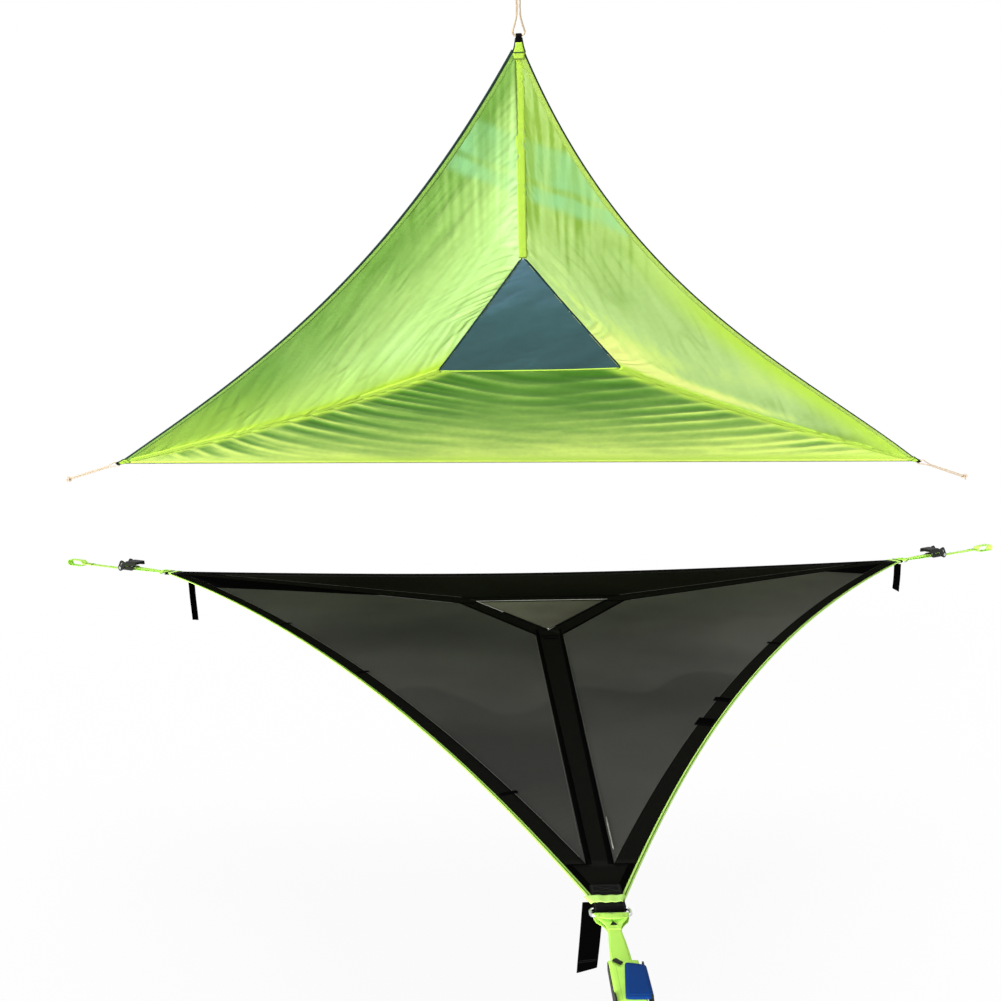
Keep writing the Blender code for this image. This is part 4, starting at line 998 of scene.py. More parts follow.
def make_vent_cloth():
    grown = CANOPY.hatch + (CANOPY.hatch - CANOPY.hatch.mean(axis=0)) * 0.03
    grid, shares = fan(*grown, 70, 80)
    # The creases and folds also paint highlight and shade into the tone, which grows lighter and bluer
    # towards the tip.
    soft = field(turned(grid, VENT_WAY), (3.0, 12.0), 11.0)
    layers = ((wrinkles(grid, VENT_WAY, 91.0, (4.0, 22.0)), 0.0040, 0.26), (soft, 0.0030, 0.16),
              (field(grid, (20.0, 30.0), 12.0), 0.0006, 0.06))
    heights, tone = layered(layers, step(shares - 0.03, 0.0, 0.1) * step(1 - shares, 0.0, 0.08))
    tone = tone + 0.26 + 0.60 * (1 - shares) ** 1.5
    grid, heights, tone = grid[::-1], heights[::-1], tone[::-1]
    panel = sheet_object("canopy_cloth_vent", grid, heights, canopy_lift, VENT_CLOTH, tone, CLOTH)
    put(panel, "root", "canopy_vent_panel")
    hung(grid)


make_canopy_cloth()
make_vent_cloth()


# Canopy seams, hem and bindings. A tape's span is its lower and upper height
SEAM_SPAN = (-0.0008, 0.0030)
VENT_SPAN = (-0.0016, 0.0036)
HEM_SPAN = (-0.0006, 0.0030)
CANOPY_BINDINGS = (0.0042, 0.0030, 0.0030)
CUT_IN = 0.004


def make_canopy_seams():
    seams = [tape(f"canopy_seam_{k}", *seam_lines(CANOPY, k, 110), canopy_lift, SEAM_SPAN, LIME_TAPE, 7,
                  0.0010) for k in range(3)]
    seams += [tape(f"vent_border_{k}", *border_lines(CANOPY, k, 60), canopy_lift, VENT_SPAN, stuff, 5, 0.0005)
              for k, stuff in enumerate((DARK_TAPE, LIME_TAPE, DARK_TAPE))]
    put(join("canopy_seam_tape", seams), "root", "canopy_seam_webbing")
    hems = [tape(f"hem_{k}", *edge_lines(CANOPY, k, 130), canopy_lift, HEM_SPAN, stuff, 5, 0.0006)
            for k, stuff in enumerate((LEFT_HEM, PALE_HEM, RIGHT_HEM))]
    put(join("canopy_hem", hems), "root", "canopy_edge_webbing")
    for k, (side, radius) in enumerate(zip(CANOPY_SIDES, CANOPY_BINDINGS)):
        path = canopy_lift(CANOPY.outer_line(k, CANOPY_TIP_CUT - CUT_IN, 0.0015, 140), CANOPY_WEBBING / 2)
        put(tube(f"canopy_binding_{side}", path, radius, DARK_PIPING, 10), "root")


make_canopy_seams()


# Bed mesh, bands and edging
MESH_THICKNESS = 0.0007
MESH_RISE, MESH_WAVE = 0.0012, 0.0030
MESH_UNDER = -0.008
RIM_OVER = 0.005
RIM_SPAN = (-0.0004, 0.0030)
LAP_DEPTHS, LAP_SPAN = (-0.006, 0.002), (-0.0006, 0.0022)
SPOKE_SPAN, SPOKE_EDGE_SPAN = (-0.0003, 0.0030), (-0.0006, 0.0037)
BORDER_SPAN, BORDER_EDGE_SPAN = (-0.0005, 0.0034), (-0.0008, 0.0040)
EDGING_SPAN, EDGING_SHARE = (-0.0004, 0.0038), 0.70
EDGE_TAPE, EDGE_OVER = 0.013, 0.001
LAID_SPAN = (0.0032, 0.0050)
PATCH_SPAN = (0.0022, 0.0036)
BED_PIPING, SEAM_WIRE, TIP_WIRE, ZIP_WIRE = 0.0015, 0.0011, 0.0016, 0.0012


# Painted light and shade in the mesh's tone: a base per panel that sets how lit it looks, random cloudy
# patches, and a painted darker reflection over the front part.
def mesh_tone(flat, seed, base):
    edge = flat[..., 1] + 0.30 * field(flat, (3.0, 1.0), 57.0) - 0.12 * flat[..., 0]
    return (base + 0.26 * np.tanh(3 * field(flat, (1.1, 1.5), seed))
            + 0.10 * field(flat, (3.2, 4.5), seed + 3) - 0.24 * (1 - step(edge, -0.98, -0.93)))


def make_bed_panels():
    for k, side in enumerate(BED_SIDES):
        grid, across, deep = BED.patch(k, MESH_UNDER, 150, 70)
        wave = field(grid, 2.2, 31.0 + k) * inside(deep, 0.06, 0.05) * inside(across, 0.03, 0.03)
        panel = sheet_object(f"bed_mesh_{side}", grid, MESH_RISE + MESH_WAVE * wave, bed_lift,
                             REAR_MESH if side == "rear" else MESH,
                             mesh_tone(grid, 51.0 + k, 0.5 if side == "left" else 0.7), MESH_THICKNESS)
        put(panel, "root", f"mesh_panel_{side}")
        hung(grid)
        lines = [BED.rim_line(k, 0.0, depth, 140) for depth in (BED_EDGE - RIM_OVER, BED_EDGE + BED_RIM)]
        lap = [BED.outer_line(k, BED_TIP_CUT - CUT_IN, BED_EDGE + depth, 140) for depth in LAP_DEPTHS]
        rim = [tape(f"bed_rim_{side}", *lines, bed_lift, RIM_SPAN, BAND, 7, 0.0004),
               tape(f"bed_rim_lap_{side}", *lap, bed_lift, LAP_SPAN, BAND)]
        put(join(f"bed_rim_{side}", rim), "root", f"rim_band_{side}")


def across_lines(line, other):
    """The unit way from each point of a line to the same point of another."""
    return (other - line) / np.linalg.norm(other - line, axis=1)[:, None]


def make_bed_bands():
    for k, corner in enumerate(CORNERS):
        left, right = seam_lines(BED, k, 90)
        way = across_lines(left, right)
        parts = [tape(f"spoke_{corner}", left, right, bed_lift, SPOKE_SPAN, BAND, 9, 0.0005),
                 tape(f"spoke_left_{corner}", left - way * EDGE_OVER, left + way * EDGE_TAPE, bed_lift,
                      SPOKE_EDGE_SPAN, BAND_EDGE),
                 tape(f"spoke_right_{corner}", right - way * EDGE_TAPE, right + way * EDGE_OVER, bed_lift,
                      SPOKE_EDGE_SPAN, BAND_EDGE)]
        put(join(f"bed_spoke_{corner}", parts), "root", f"spoke_band_{corner}")
    borders = []
    for k in range(3):
        inner, outer = border_lines(BED, k, 30)
        borders.append(tape(f"border_{k}", inner, outer, bed_lift, BORDER_SPAN, BAND, 7))
        for line, other, mark in ((inner, outer, "in"), (outer, inner, "out")):
            borders.append(tape(f"border_{mark}_{k}", line, line + across_lines(line, other) * EDGE_TAPE,
                                bed_lift, BORDER_EDGE_SPAN, BAND_EDGE))
    put(join("bed_hatch_border", borders), "root", "hatch_border")
    edging = []
    for k, side in enumerate(BED_SIDES):
        outer, inner = edge_lines(BED, k, 150)
        edging.append(tape(f"edging_{k}", outer, outer + (inner - outer) * EDGING_SHARE, bed_lift,
                           EDGING_SPAN, BAND_EDGE if side == "rear" else LIME_EDGE))
    put(join("bed_edging", edging), "root", "edge_webbing")
    for k, side in enumerate(BED_SIDES):
        path = bed_lift(BED.outer_line(k, BED_TIP_CUT - CUT_IN, BED_EDGE * 0.26, 150), 0.0036)
        stuff = BLACK_THREAD if side == "rear" else GREEN_PIPING
        put(tube(f"bed_piping_{side}", path, BED_PIPING, stuff), "root")


def make_bed_piping():
    """Piping beside the bands and the rims, and a pale thread at the tip of the mesh."""
    for k, corner in enumerate(CORNERS):
        lines = [tube(f"spoke_piping_{corner}", bed_lift(BED.band_line(k, ahead, 0.0045, 60)[2:-1], 0.0022),
                      SEAM_WIRE, SEAM_PIPING, 6) for ahead in (True, False)]
        put(join(f"spoke_piping_{corner}", lines), "root")
    for k, side in enumerate(BED_SIDES):
        line = BED.rim_line(k, 0.006, BED_EDGE + BED_RIM + 0.0015, 140)
        stuff = BLACK_THREAD if side == "rear" else SEAM_PIPING
        put(tube(f"rim_piping_{side}", bed_lift(line, 0.0024), SEAM_WIRE, stuff, 6), "root")
    tip = BED.band_line(0, True, 0.0065, 60)[1:7]
    put(tube("mesh_tip_piping", bed_lift(tip, 0.0040), TIP_WIRE, PALE_THREAD), "root")


def make_zip():
    """The hatch's zip: the whole of one side and the starts of the other two."""
    hatch = [Vector(h) for h in BED.hatch]
    middle = sum(hatch, Vector((0.0, 0.0))) / 3
    hatch = [h.lerp(middle, -0.035) for h in hatch]
    zips = []
    for first, last, share in ((2, 1, 1.0), (2, 0, 0.40), (0, 1, 0.10)):
        run = densify([hatch[first], hatch[first].lerp(hatch[last], share)], 0.03)
        zips.append(tube("hatch_zip", bed_lift(np.array(run), 0.0048), ZIP_WIRE, PALE_THREAD))
    put(join("hatch_zip", zips), "root")


def make_slot_and_loops():
    """A webbing slot below the hub and small loops on the rim."""
    slot = []
    for y, half, rise in ((-0.245, 0.034, 0.0046), (-0.285, 0.028, 0.0050)):
        line = np.array(densify([(-half, y), (half, y)], 0.008))
        slot.append(tape("hub_slot", line + (0.0, 0.006), line - (0.0, 0.006), bed_lift,
                         (rise - 0.0014, rise), BAND_EDGE))
    put(join("hub_slot", slot), "root")
    loops = []
    for k, share, half in ((0, 0.285, 0.032), (0, 0.340, 0.018), (0, 0.520, 0.010),
                           (2, 0.360, 0.008), (2, 0.560, 0.008), (2, 0.845, 0.007)):
        depths = np.linspace(BED_EDGE + 0.004, BED_EDGE + BED_RIM + 0.010, 9)
        rows = [np.array([BED.side(k, share + off * half / BED_SIDE, depth) for depth in depths])
                for off in (-1, 1)]
        loops.append(tape("rim_loop", *rows, bed_lift, LAID_SPAN, BAND_EDGE))
    put(join("rim_loops", loops), "root")


def stretch_of(line, reach):
    """The first stretch of a line, up to a length, at even places."""
    places = np.linspace(0, reach, 40)
    return np.stack([np.interp(places, lengths(line), line[:, axis]) for axis in (0, 1)], axis=-1)[1:]


def make_corner_patches():
    """A black patch over the point of the mesh between the band and the rim, at both rear corners."""
    right, left = (BED.rim_line(k, 0.0, BED_EDGE + BED_RIM, 200) for k in (0, 2))
    for corner, rim, near, k, ahead, far in (("right", right[::-1], 0.32, 1, False, 0.42),
                                             ("left", left, 0.42, 2, True, 1.25)):
        lines = [stretch_of(rim, near), stretch_of(BED.band_line(k, ahead, 0.0, 200), far)]
        middle = (lines[0] + lines[1]) / 2
        lines = [line + (line - middle) * 0.02 for line in lines]
        put(tape(f"corner_patch_{corner}", *lines, bed_lift, PATCH_SPAN, BAND_EDGE, 9), "root")


make_bed_panels()
make_bed_bands()
make_bed_piping()
make_zip()
make_slot_and_loops()
make_corner_patches()


# Hatch flap, which swings about its rear edge
FLAP_RISE = 0.0015
FLAP_INSET = 0.003
FLAP_BINDING, FLAP_HINGE_BINDING = 0.0022, 0.0011


def make_flap():
    corners = np.array(around(HATCH_SIDE / math.sqrt(3) - FLAP_INSET))
    height = FLAP_RISE - BED_DIP
    grid = fan(*(corners * 0.985)[[0, 2, 1]], 46, 50)[0][::-1] + (0.0, HATCH_SHIFT)

    def lift(flat, rise):
        return np.concatenate([flat, (height + rise)[..., None]], axis=-1)

    # Painted shade: the flap darker towards its front right, with random patches.
    tone = 0.55 - 1.1 * (grid @ np.array((1.0, -0.5))) + 0.15 * field(grid, 6.0, 62.0)
    wave = 0.0010 * field(grid, 5.0, 61.0)
    flap = sheet_object("flap_mesh", grid, wave, lift, FLAP_MESH, tone, MESH_THICKNESS)
    put(flap, "hatch_flap", "hatch_flap")
    hung(grid)
    rim = [Vector((x, y + HATCH_SHIFT, height)) for x, y in corners * 0.990]
    edge = densify([*rim, rim[0]], 0.01)[:-1]
    radii = [FLAP_HINGE_BINDING if p.y > rim[1].y - 0.004 else FLAP_BINDING for p in edge]
    put(tube("flap_binding", edge, radii, BLACK_THREAD, closed=True), "hatch_flap")


make_flap()


# Corner hardware, along each corner's own axis
TIP = BED_SIDE / math.sqrt(3) - BED_TIP_CUT
MID_PLANE = 0.0016
RING_WIRE = 0.0070
RING_NEAR = TIP + 0.018
RING_FAR = RING_NEAR + 0.024
RING_HALF = 0.040
RING_CORNER = 0.008
FIXED_BAR = RING_FAR + 0.250
FIXED_BAR_RADIUS = 0.0040
AXLE = FIXED_BAR + 0.085
STRAP_WIDTH = 0.038
STRAP_THICKNESS = 0.0016
LOOP_WIDTH, LOOP_THICKNESS, LOOP_TAIL = 0.066, 0.0026, 0.070
WOUND_INNER, WOUND_OUTER = 0.0063, 0.0095
HANDLE_TOP, HANDLE_REACH, HANDLE_NOSE, HANDLE_OUTER = 0.036, 0.125, 0.003, 0.0322
TREE_RUN, EYE_LENGTH, EYE_HEIGHT, EYE_SEAM, EYE_FLARE = 0.330, 0.120, 0.030, 0.060, 0.030
TAIL_LENGTHS = {"front": 0.155, "right": 0.155, "left": 0.260}
TAIL_SETBACKS = {"front": 0.020, "right": 0.020, "left": 0.110}
TAIL_LEANS = {"front": -0.013, "right": 0.004, "left": -0.012}
TAIL_WIDTH, TAIL_THICKNESS, TAIL_OFFSET, TAIL_SLANT = 0.044, 0.0020, -0.030, 0.012
TAIL_HEMS = (0.020, 0.024)
CLEAR = 0.0006
FOLD_GAP = 0.0005
NODE_GAP = 0.0003
THREAD = 0.00045
THREAD_RISE = 0.0002
STITCH = 0.0045
TACK_STEP, TACK_HALF = 0.0011, 0.0014
PAD_THICKNESS = 0.0064
WRAP_WIDTH, WRAP_LATERAL = 0.054, -0.004
SLEEVE_THICKNESS, TAB_THICKNESS = 0.0012, 0.0020


def stitches(name, route, place, material, spacing=STITCH):
    """A row of single stitches along a line, each a short rounded bar that dips at its ends."""
    points = densify(route, spacing)
    made = []
    for first, last in zip(points, points[1:]):
        bar = [place @ (first.lerp(last, t) + Vector((0, 0, lift)))
               for t, lift in ((0.12, -THREAD), (0.3, 0), (0.7, 0), (0.88, -THREAD))]
        made.append(tube(name, bar, THREAD, material, 5))
    return join(name, made)


def box_stitch(name, x0, x1, half, z, place, material):
    """The box with a cross that holds a strap's sewn end."""
    corners = [(x0, -half, z), (x1, -half, z), (x1, half, z), (x0, half, z)]
    routes = (corners + corners[:1], corners[::2], corners[3:0:-2])
    return join(name, [stitches(name, route, place, material) for route in routes])


def bar_tack(name, x, half, z, place, material):
    """A dense zigzag of thread across a strap."""
    path = [place @ Vector((x + (TACK_HALF if i % 2 else -TACK_HALF), -half + i * TACK_STEP, z))
            for i in range(int(half * 2 / TACK_STEP))]
    return tube(name, path, THREAD, material, 5)


def make_loop(corner, base):
    height = MID_PLANE + MID_PLANE + FOLD_GAP + LOOP_THICKNESS / 2
    path = [(TIP - LOOP_TAIL + 0.0035 * i, height) for i in range(21)]
    turn = arc((RING_NEAR, MID_PLANE), RING_WIRE / 2 + CLEAR + LOOP_THICKNESS / 2, 100, -100, 22)
    path += turn + [(x, 2 * MID_PLANE - z) for x, z in reversed(path)]
    band = strap(f"corner_loop_{corner}", stations_along(upright(path), LOOP_WIDTH, base), LOOP_THICKNESS,
                 BLACK_LOOP, 11)
    top = height + LOOP_THICKNESS / 2 + THREAD_RISE
    sewn = [box_stitch(f"loop_stitch_{corner}", TIP - LOOP_TAIL + 0.006, TIP - 0.042, LOOP_WIDTH / 2 - 0.006,
                       top, base, GREY_THREAD)]
    for x in (TIP + 0.003, TIP - LOOP_TAIL + 0.002):
        sewn.append(bar_tack(f"loop_tack_{corner}", x, LOOP_WIDTH / 2 - 0.004, top, base, BLACK_THREAD))
    put(band, "root", f"corner_loop_{corner}")
    put(join(f"loop_thread_{corner}", sewn), "root")
    make_crossing(corner, base, top)


def make_crossing(corner, base, top):
    """The lime edging folded over the corner and the loop, from one side of the sheet to the other."""
    half_out = abs(BED.outer_line(0, BED_TIP_CUT, 0.0, 2)[0, 0])
    half_in = abs(BED.outer_line(0, BED_TIP_CUT + BED_TIP_WIDTH, 0.0, 2)[0, 0]) - 0.006
    stations = []
    for i in range(41):
        t = i / 40 * 2 - 1
        fall = min(1.0, (1 - abs(t)) / 0.16)
        rise = (top + 0.0012) * fall ** 0.5 + 0.0030 * (1 - fall) + 0.0006 * math.sin(t * 9)
        point = 0.010 * max(0.0, (-t - 0.8) / 0.2)
        near = Vector((TIP - 0.024 - 0.003 * t * t, half_in * t - point, rise))
        far = Vector((TIP - 0.0005 + 0.0030 * (1 - t * t), half_out * t - point * 0.6, rise))
        stations.append((base @ ((near + far) / 2), base.to_3x3() @ (far - near).normalized(),
                         Vector((0, 0, 1)), (far - near).length))
    put(strap(f"corner_crossing_{corner}", stations, 0.0018, LIME_CROSSING, 11), "root")


def make_ring(corner, base):
    half_x = (RING_FAR - RING_NEAR) / 2
    path = []
    for sx, sy, first in ((1, 1, 0), (-1, 1, 90), (-1, -1, 180), (1, -1, 270)):
        centre = (RING_NEAR + half_x + sx * (half_x - RING_CORNER), sy * (RING_HALF - RING_CORNER))
        path += [Vector((x, y, MID_PLANE)) for x, y in arc(centre, RING_CORNER, first, first + 90, 10)]
    path = densify([*path, path[0]], 0.008)[:-1]
    ring = tube(f"corner_ring_{corner}", [base @ p for p in path], RING_WIRE / 2, STEEL, 20, closed=True)
    put(ring, "root", f"corner_ring_{corner}")


def make_hitch(corner, base, neck):
    """Both turns of the sling round the ring, and the part that lies across them."""
    ring_gap = RING_WIRE / 2 + CLEAR + STRAP_THICKNESS / 2
    upper = [(neck + 0.014, 0.0045, 0.0030, 0.018), (neck, 0.0078, 0.0036, 0.017),
             (RING_FAR + 0.026, 0.0120, 0.0044, 0.022), (RING_FAR + 0.012, 0.0165, 0.0054, 0.032)]
    bend = [(x, 0.0180, z - MID_PLANE, 0.0355) for x, z in arc((RING_FAR, MID_PLANE), ring_gap, 90, 270, 14)]
    marks = upper + bend + [(x, y, -z, w) for x, y, z, w in reversed(upper)]
    made = []
    for sign in (1, -1):
        places = [(x, y * sign, MID_PLANE + z) for x, y, z, w in marks]
        fine, wide = widened(places, [w for x, y, z, w in marks], 0.004)
        made.append(strap(f"hitch_{corner}_{sign}", stations_along(fine, wide, base), STRAP_THICKNESS,
                          LIME_STRAP, 9))
    turn = base.to_3x3()
    cross = []
    for i in range(25):
        t = i / 24 * 2 - 1
        centre = Vector((RING_FAR + 0.020 - 0.010 * t * t, 0.0235 * t, MID_PLANE + 0.0100 - 0.0028 * t * t))
        slope = Vector((-0.020 * t, 0.0235, -0.0056 * t)).normalized()
        across = (Vector((1, 0, 0)) - slope * slope.x).normalized()
        cross.append((base @ centre, turn @ across, turn @ across.cross(slope), 0.019 - 0.004 * t * t))
    return made + [strap(f"cross_{corner}", cross, STRAP_THICKNESS, LIME_STRAP, 9)]


def make_sling(corner, base):
    """Lime strap in a girth hitch on the ring, with both legs run to the ratchet's bar."""
    bar_gap = FIXED_BAR_RADIUS + CLEAR + STRAP_THICKNESS / 2
    neck = RING_FAR + 0.040
    legs = [(neck - 0.008, 0.0014, 0.021), (neck + 0.012, 0.0024, 0.025), (neck + 0.060, 0.0034, 0.033),
            (neck + 0.105, 0.0042, STRAP_WIDTH), (FIXED_BAR - 0.02, bar_gap - 0.0004, STRAP_WIDTH)]
    bend = [(x, z - MID_PLANE, STRAP_WIDTH) for x, z in arc((FIXED_BAR, MID_PLANE), bar_gap, 90, -90, 16)]
    marks = legs + bend + [(x, -z, w) for x, z, w in reversed(legs)]
    fine, wide = widened([(x, 0, MID_PLANE + z) for x, z, w in marks], [w for x, z, w in marks], 0.006)
    made = make_hitch(corner, base, neck)
    made.append(strap(f"legs_{corner}", stations_along(fine, wide, base), STRAP_THICKNESS, LIME_STRAP, 9))
    put(join(f"sling_strap_{corner}", made), "root", f"sling_{corner}")
    gap = [(RING_FAR + 0.031, 0.0), (neck + 0.001, 0.0062), (neck + 0.001, -0.0062)]
    points = [base @ Vector((x, y, MID_PLANE + z)) for z in (0.0030, 0.0068) for x, y in gap]
    faces = [(0, 2, 1), (3, 4, 5), (0, 1, 4, 3), (1, 2, 5, 4), (2, 0, 3, 5)]
    put(mesh_object(f"hitch_shade_{corner}", points, faces, BLACK_THREAD, smooth=False), "root")


def make_tail(corner, base):
    """The loose strap end, with a slow curve and a sewn hem, cut at a slant."""
    length, setback, side = TAIL_LENGTHS[corner], TAIL_SETBACKS[corner], TAIL_LEANS[corner]
    top = -FOLD_GAP - (LOOP_THICKNESS + FOLD_GAP if setback < LOOP_TAIL else 0.0) - TAIL_THICKNESS / 2
    place = base @ Matrix.Translation((TIP - setback, TAIL_OFFSET, top))
    turn = place.to_3x3()

    def sway(t):
        return 0.003 * math.sin(t * math.pi * 1.6) * t

    def slanted(y, t):
        return TAIL_SLANT * t ** 6 * (y + TAIL_WIDTH / 2) / TAIL_WIDTH

    stations = []
    for i in range(41):
        t = i / 40
        slope = (sway(t - 0.01) - sway(t + 0.01)) / 0.02 / length
        stations.append((place @ Vector((sway(t), side * t, -length * t)), turn @ Vector((0, 1, 0)),
                         turn @ Vector((1, 0, -slope)).normalized(), TAIL_WIDTH * (1 - 0.03 * t)))
    tail = strap(f"tail_{corner}", stations, TAIL_THICKNESS, BLACK_STRAP, 11)
    inverse = place.inverted()
    for vertex in tail.data.vertices:
        local = inverse @ vertex.co
        local.z += slanted(local.y, min(1.0, -local.z / length))
        vertex.co = place @ local
    hems = []
    for rise in TAIL_HEMS:
        t = 1 - rise / length
        row = [place @ Vector((sway(t) + 0.0012, side * t + y, -length * t + slanted(y, t)))
               for y in np.linspace(0.003 - TAIL_WIDTH / 2, TAIL_WIDTH / 2 - 0.003, 10)]
        hems.append(tube(f"tail_hem_{corner}", row, 0.0005, BLACK_THREAD, 5))
    put(join(f"tail_band_{corner}", [tail, *hems]), f"tail_strap_{corner}", f"tail_strap_{corner}")


def make_tree_strap(corner, axle):
    """The strap from the spool out to its sewn eye."""
    low = -WOUND_OUTER - NODE_GAP - STRAP_THICKNESS / 2
    fold = STRAP_THICKNESS + FOLD_GAP
    radius = (EYE_HEIGHT + STRAP_THICKNESS) / 2
    middle = low + fold / 2
    near = TREE_RUN + EYE_FLARE
    far = near + EYE_LENGTH - EYE_HEIGHT
    half = [(TREE_RUN + EYE_FLARE * t, radius * t * t * (3 - 2 * t)) for t in (i / 8 for i in range(1, 9))]
    half += [(near + (far - near) * i / 8, radius) for i in range(1, 8)]
    path = [(0.008 * i, low + 0.0004 * math.sin(i * 0.5)) for i in range(34)]
    path += [(TREE_RUN - EYE_SEAM + 0.006 * i, low) for i in range(11)]
    path += [(x, middle - z) for x, z in half]
    path += arc((far, middle), radius, -90, 90, 20)
    path += [(x, middle + z) for x, z in reversed(half)]
    path += [(TREE_RUN - 0.006 * i, low + fold) for i in range(11)]
    band = strap(f"tree_{corner}", stations_along(upright(path), STRAP_WIDTH, axle), STRAP_THICKNESS,
                 LIME_STRAP, 9)
    put(band, "root", f"tree_strap_{corner}")
    top = low + fold + STRAP_THICKNESS / 2 + THREAD_RISE
    sewn = [box_stitch(f"eye_box_{corner}", TREE_RUN - EYE_SEAM + 0.008, TREE_RUN - 0.010,
                       STRAP_WIDTH / 2 - 0.005, top, axle, BLACK_THREAD)]
    for x in (TREE_RUN - EYE_SEAM + 0.003, TREE_RUN - 0.004):
        sewn.append(bar_tack(f"eye_tack_{corner}", x, STRAP_WIDTH / 2 - 0.003, top, axle, BLACK_THREAD))
    put(join(f"eye_thread_{corner}", sewn), "root")


def make_wound(corner, axle):
    """Two turns of strap on the spool, each lying on the one below, and the free end inside the frame."""
    path = []
    for i in range(97):
        t = i / 96
        radius = WOUND_INNER + STRAP_THICKNESS / 2 + t * STRAP_THICKNESS
        a = math.radians(200 - 720 * t)
        path.append((radius * math.cos(a), radius * math.sin(a)))
    wound = strap(f"wound_{corner}", stations_along(upright(path), STRAP_WIDTH, axle),
                  STRAP_THICKNESS - 0.00005, LIME_STRAP)
    put(wound, f"spool_{corner}", f"wound_strap_{corner}")
    rest = [(-0.0125, -0.0040), (-0.0170, -0.0052), (-0.0240, -0.0060), (-0.0340, -0.0062),
            (-0.0460, -0.0059), (-0.0580, -0.0061), (-0.0700, -0.0058), (-0.0770, -0.0055)]
    free = stations_along(densify(upright(rest), 0.004), STRAP_WIDTH - 0.001, axle)
    put(strap(f"strap_end_{corner}", free, STRAP_THICKNESS, LIME_STRAP), "root")


def make_cover(corner, axle):
    """A padded grip on the handle, with a crowned top, sewn channels and rounded corners."""
    front = corner == "front"
    low = HANDLE_TOP + (0.0022 if front else NODE_GAP)
    x0 = -HANDLE_REACH - HANDLE_NOSE + (0.012 if front else 0.0)
    x1 = -0.016 if front else x0 + 0.082
    y0, y1 = (-0.003, HANDLE_OUTER + 0.0020) if front else (-HANDLE_OUTER - 0.0025, HANDLE_OUTER + 0.0025)
    slant, skew = (0.010, -0.115) if front else (0.0, 0.0)
    half_x, half_y = (x1 - x0) / 2, (y1 - y0) / 2

    def spot(u, v, height):
        """A place on the grip from its two shares, each from -1 to 1, and the same laid flat."""
        rounding = 1 - 0.05 * abs(v) ** 10 * abs(u) ** 4
        x = (x0 + x1) / 2 + half_x * u * (1 + 0.02 * (1 - v * v) * abs(u) ** 6) * rounding
        pull = 1 - 0.05 * abs(u) ** 10 * abs(v) ** 4
        y = (y0 + y1) / 2 + half_y * v * pull + skew * (x - x0) * (1 - v) / 2
        x += slant * max(0.0, -u) * (v + 1) / 2
        return axle @ Vector((x, y, low + height)), (y, x - x0)

    def puffed(u, v):
        """How full the pad is there: crowned, with a sewn channel along each edge."""
        edge = max(0.0, (1 - abs(u) ** 10) * (1 - abs(v) ** 10))
        groove = (math.exp(-((abs(v) - 0.82) / 0.035) ** 2) * (abs(u) < 0.9)
                  + math.exp(-((abs(u) - 0.88) / 0.030) ** 2) * (abs(v) < 0.86))
        crown = edge ** 0.4 * (0.84 + 0.16 * (1 - u * u) * (1 - v * v)) - 0.20 * min(1.0, groove)
        return 0.16 + 0.84 * max(0.0, crown) + 0.03 * noise.noise((u * 4, v * 4, 3.0)) * edge

    us, vs = np.linspace(-1, 1, 48), np.linspace(-1, 1, 40)
    spots = [[(spot(u, v, PAD_THICKNESS * puffed(u, v)), spot(u, v, 0.0)) for v in vs] for u in us]
    tops, bottoms = (np.array([[pair[k][0] for pair in row] for row in spots]) for k in (0, 1))
    uv = np.array([[pair[0][1] for pair in row] for row in spots])
    cover = slab(f"grip_cover_{corner}", tops, bottoms, uv, BLUE if front else BLACK_GRIP)
    put(cover, f"handle_{corner}", f"handle_cover_{corner}")
    marks = [(-0.88, -0.82), (0.88, -0.82), (0.88, 0.82), (-0.88, 0.82)]
    route = [spot(a + (c - a) * i / 12, b + (d - b) * i / 12, PAD_THICKNESS * 0.70)[0]
             for (a, b), (c, d) in zip(marks, marks[1:] + marks[:1]) for i in range(12)]
    thread_piece = stitches(f"grip_thread_{corner}", route + route[:1], Matrix(),
                            BLUE_THREAD if front else GREY_THREAD, 0.004)
    put(thread_piece, f"handle_{corner}")


def make_wrap(corner, axle):
    """Lime webbing folded round the handle's end under the pad, and the black end of the grip."""
    nose = -HANDLE_REACH - HANDLE_NOSE - 0.0012
    path = [(nose, 0.0215), (nose, 0.0260), (nose, 0.0305)]
    path += arc((nose + 0.004, HANDLE_TOP - 0.0030), 0.004, 180, 90, 8)
    path += [(nose + 0.004 + 0.006 * i, HANDLE_TOP + 0.0010 + 0.0003 * math.sin(i * 0.9))
             for i in range(1, 20)]
    stations = stations_along(upright(path, WRAP_LATERAL), WRAP_WIDTH, axle)
    put(strap(f"handle_wrap_{corner}", stations, STRAP_THICKNESS, LIME_STRAP, 9), f"handle_{corner}")
    turn = axle.to_3x3()
    way = Vector((0.78, 0.62, 0.0)).normalized()
    first = Vector((nose + 0.004, -0.020, HANDLE_TOP + 0.0042))
    stations = [(axle @ (first + way * (0.0022 * i) + Vector((0, 0, 0.0002 * i))),
                 turn @ Vector((-way.y, way.x, 0)), turn @ Vector((0, 0, 1)), 0.011 - 0.0003 * i)
                for i in range(9)]
    put(strap(f"grip_end_{corner}", stations, 0.0040, BLACK_GRIP), f"handle_{corner}")


for corner_name, degrees in zip(CORNERS, CORNER_TURNS):
    corner_base = Matrix.Rotation(math.radians(degrees), 4, "Z")
    corner_axle = corner_base @ Matrix.Translation((AXLE, 0, MID_PLANE))
    for make in (make_loop, make_ring, make_sling, make_tail):
        make(corner_name, corner_base)
    for make in (make_tree_strap, make_wound, make_cover):
        make(corner_name, corner_axle)
    if corner_name == "front":
        make_wrap(corner_name, corner_axle)


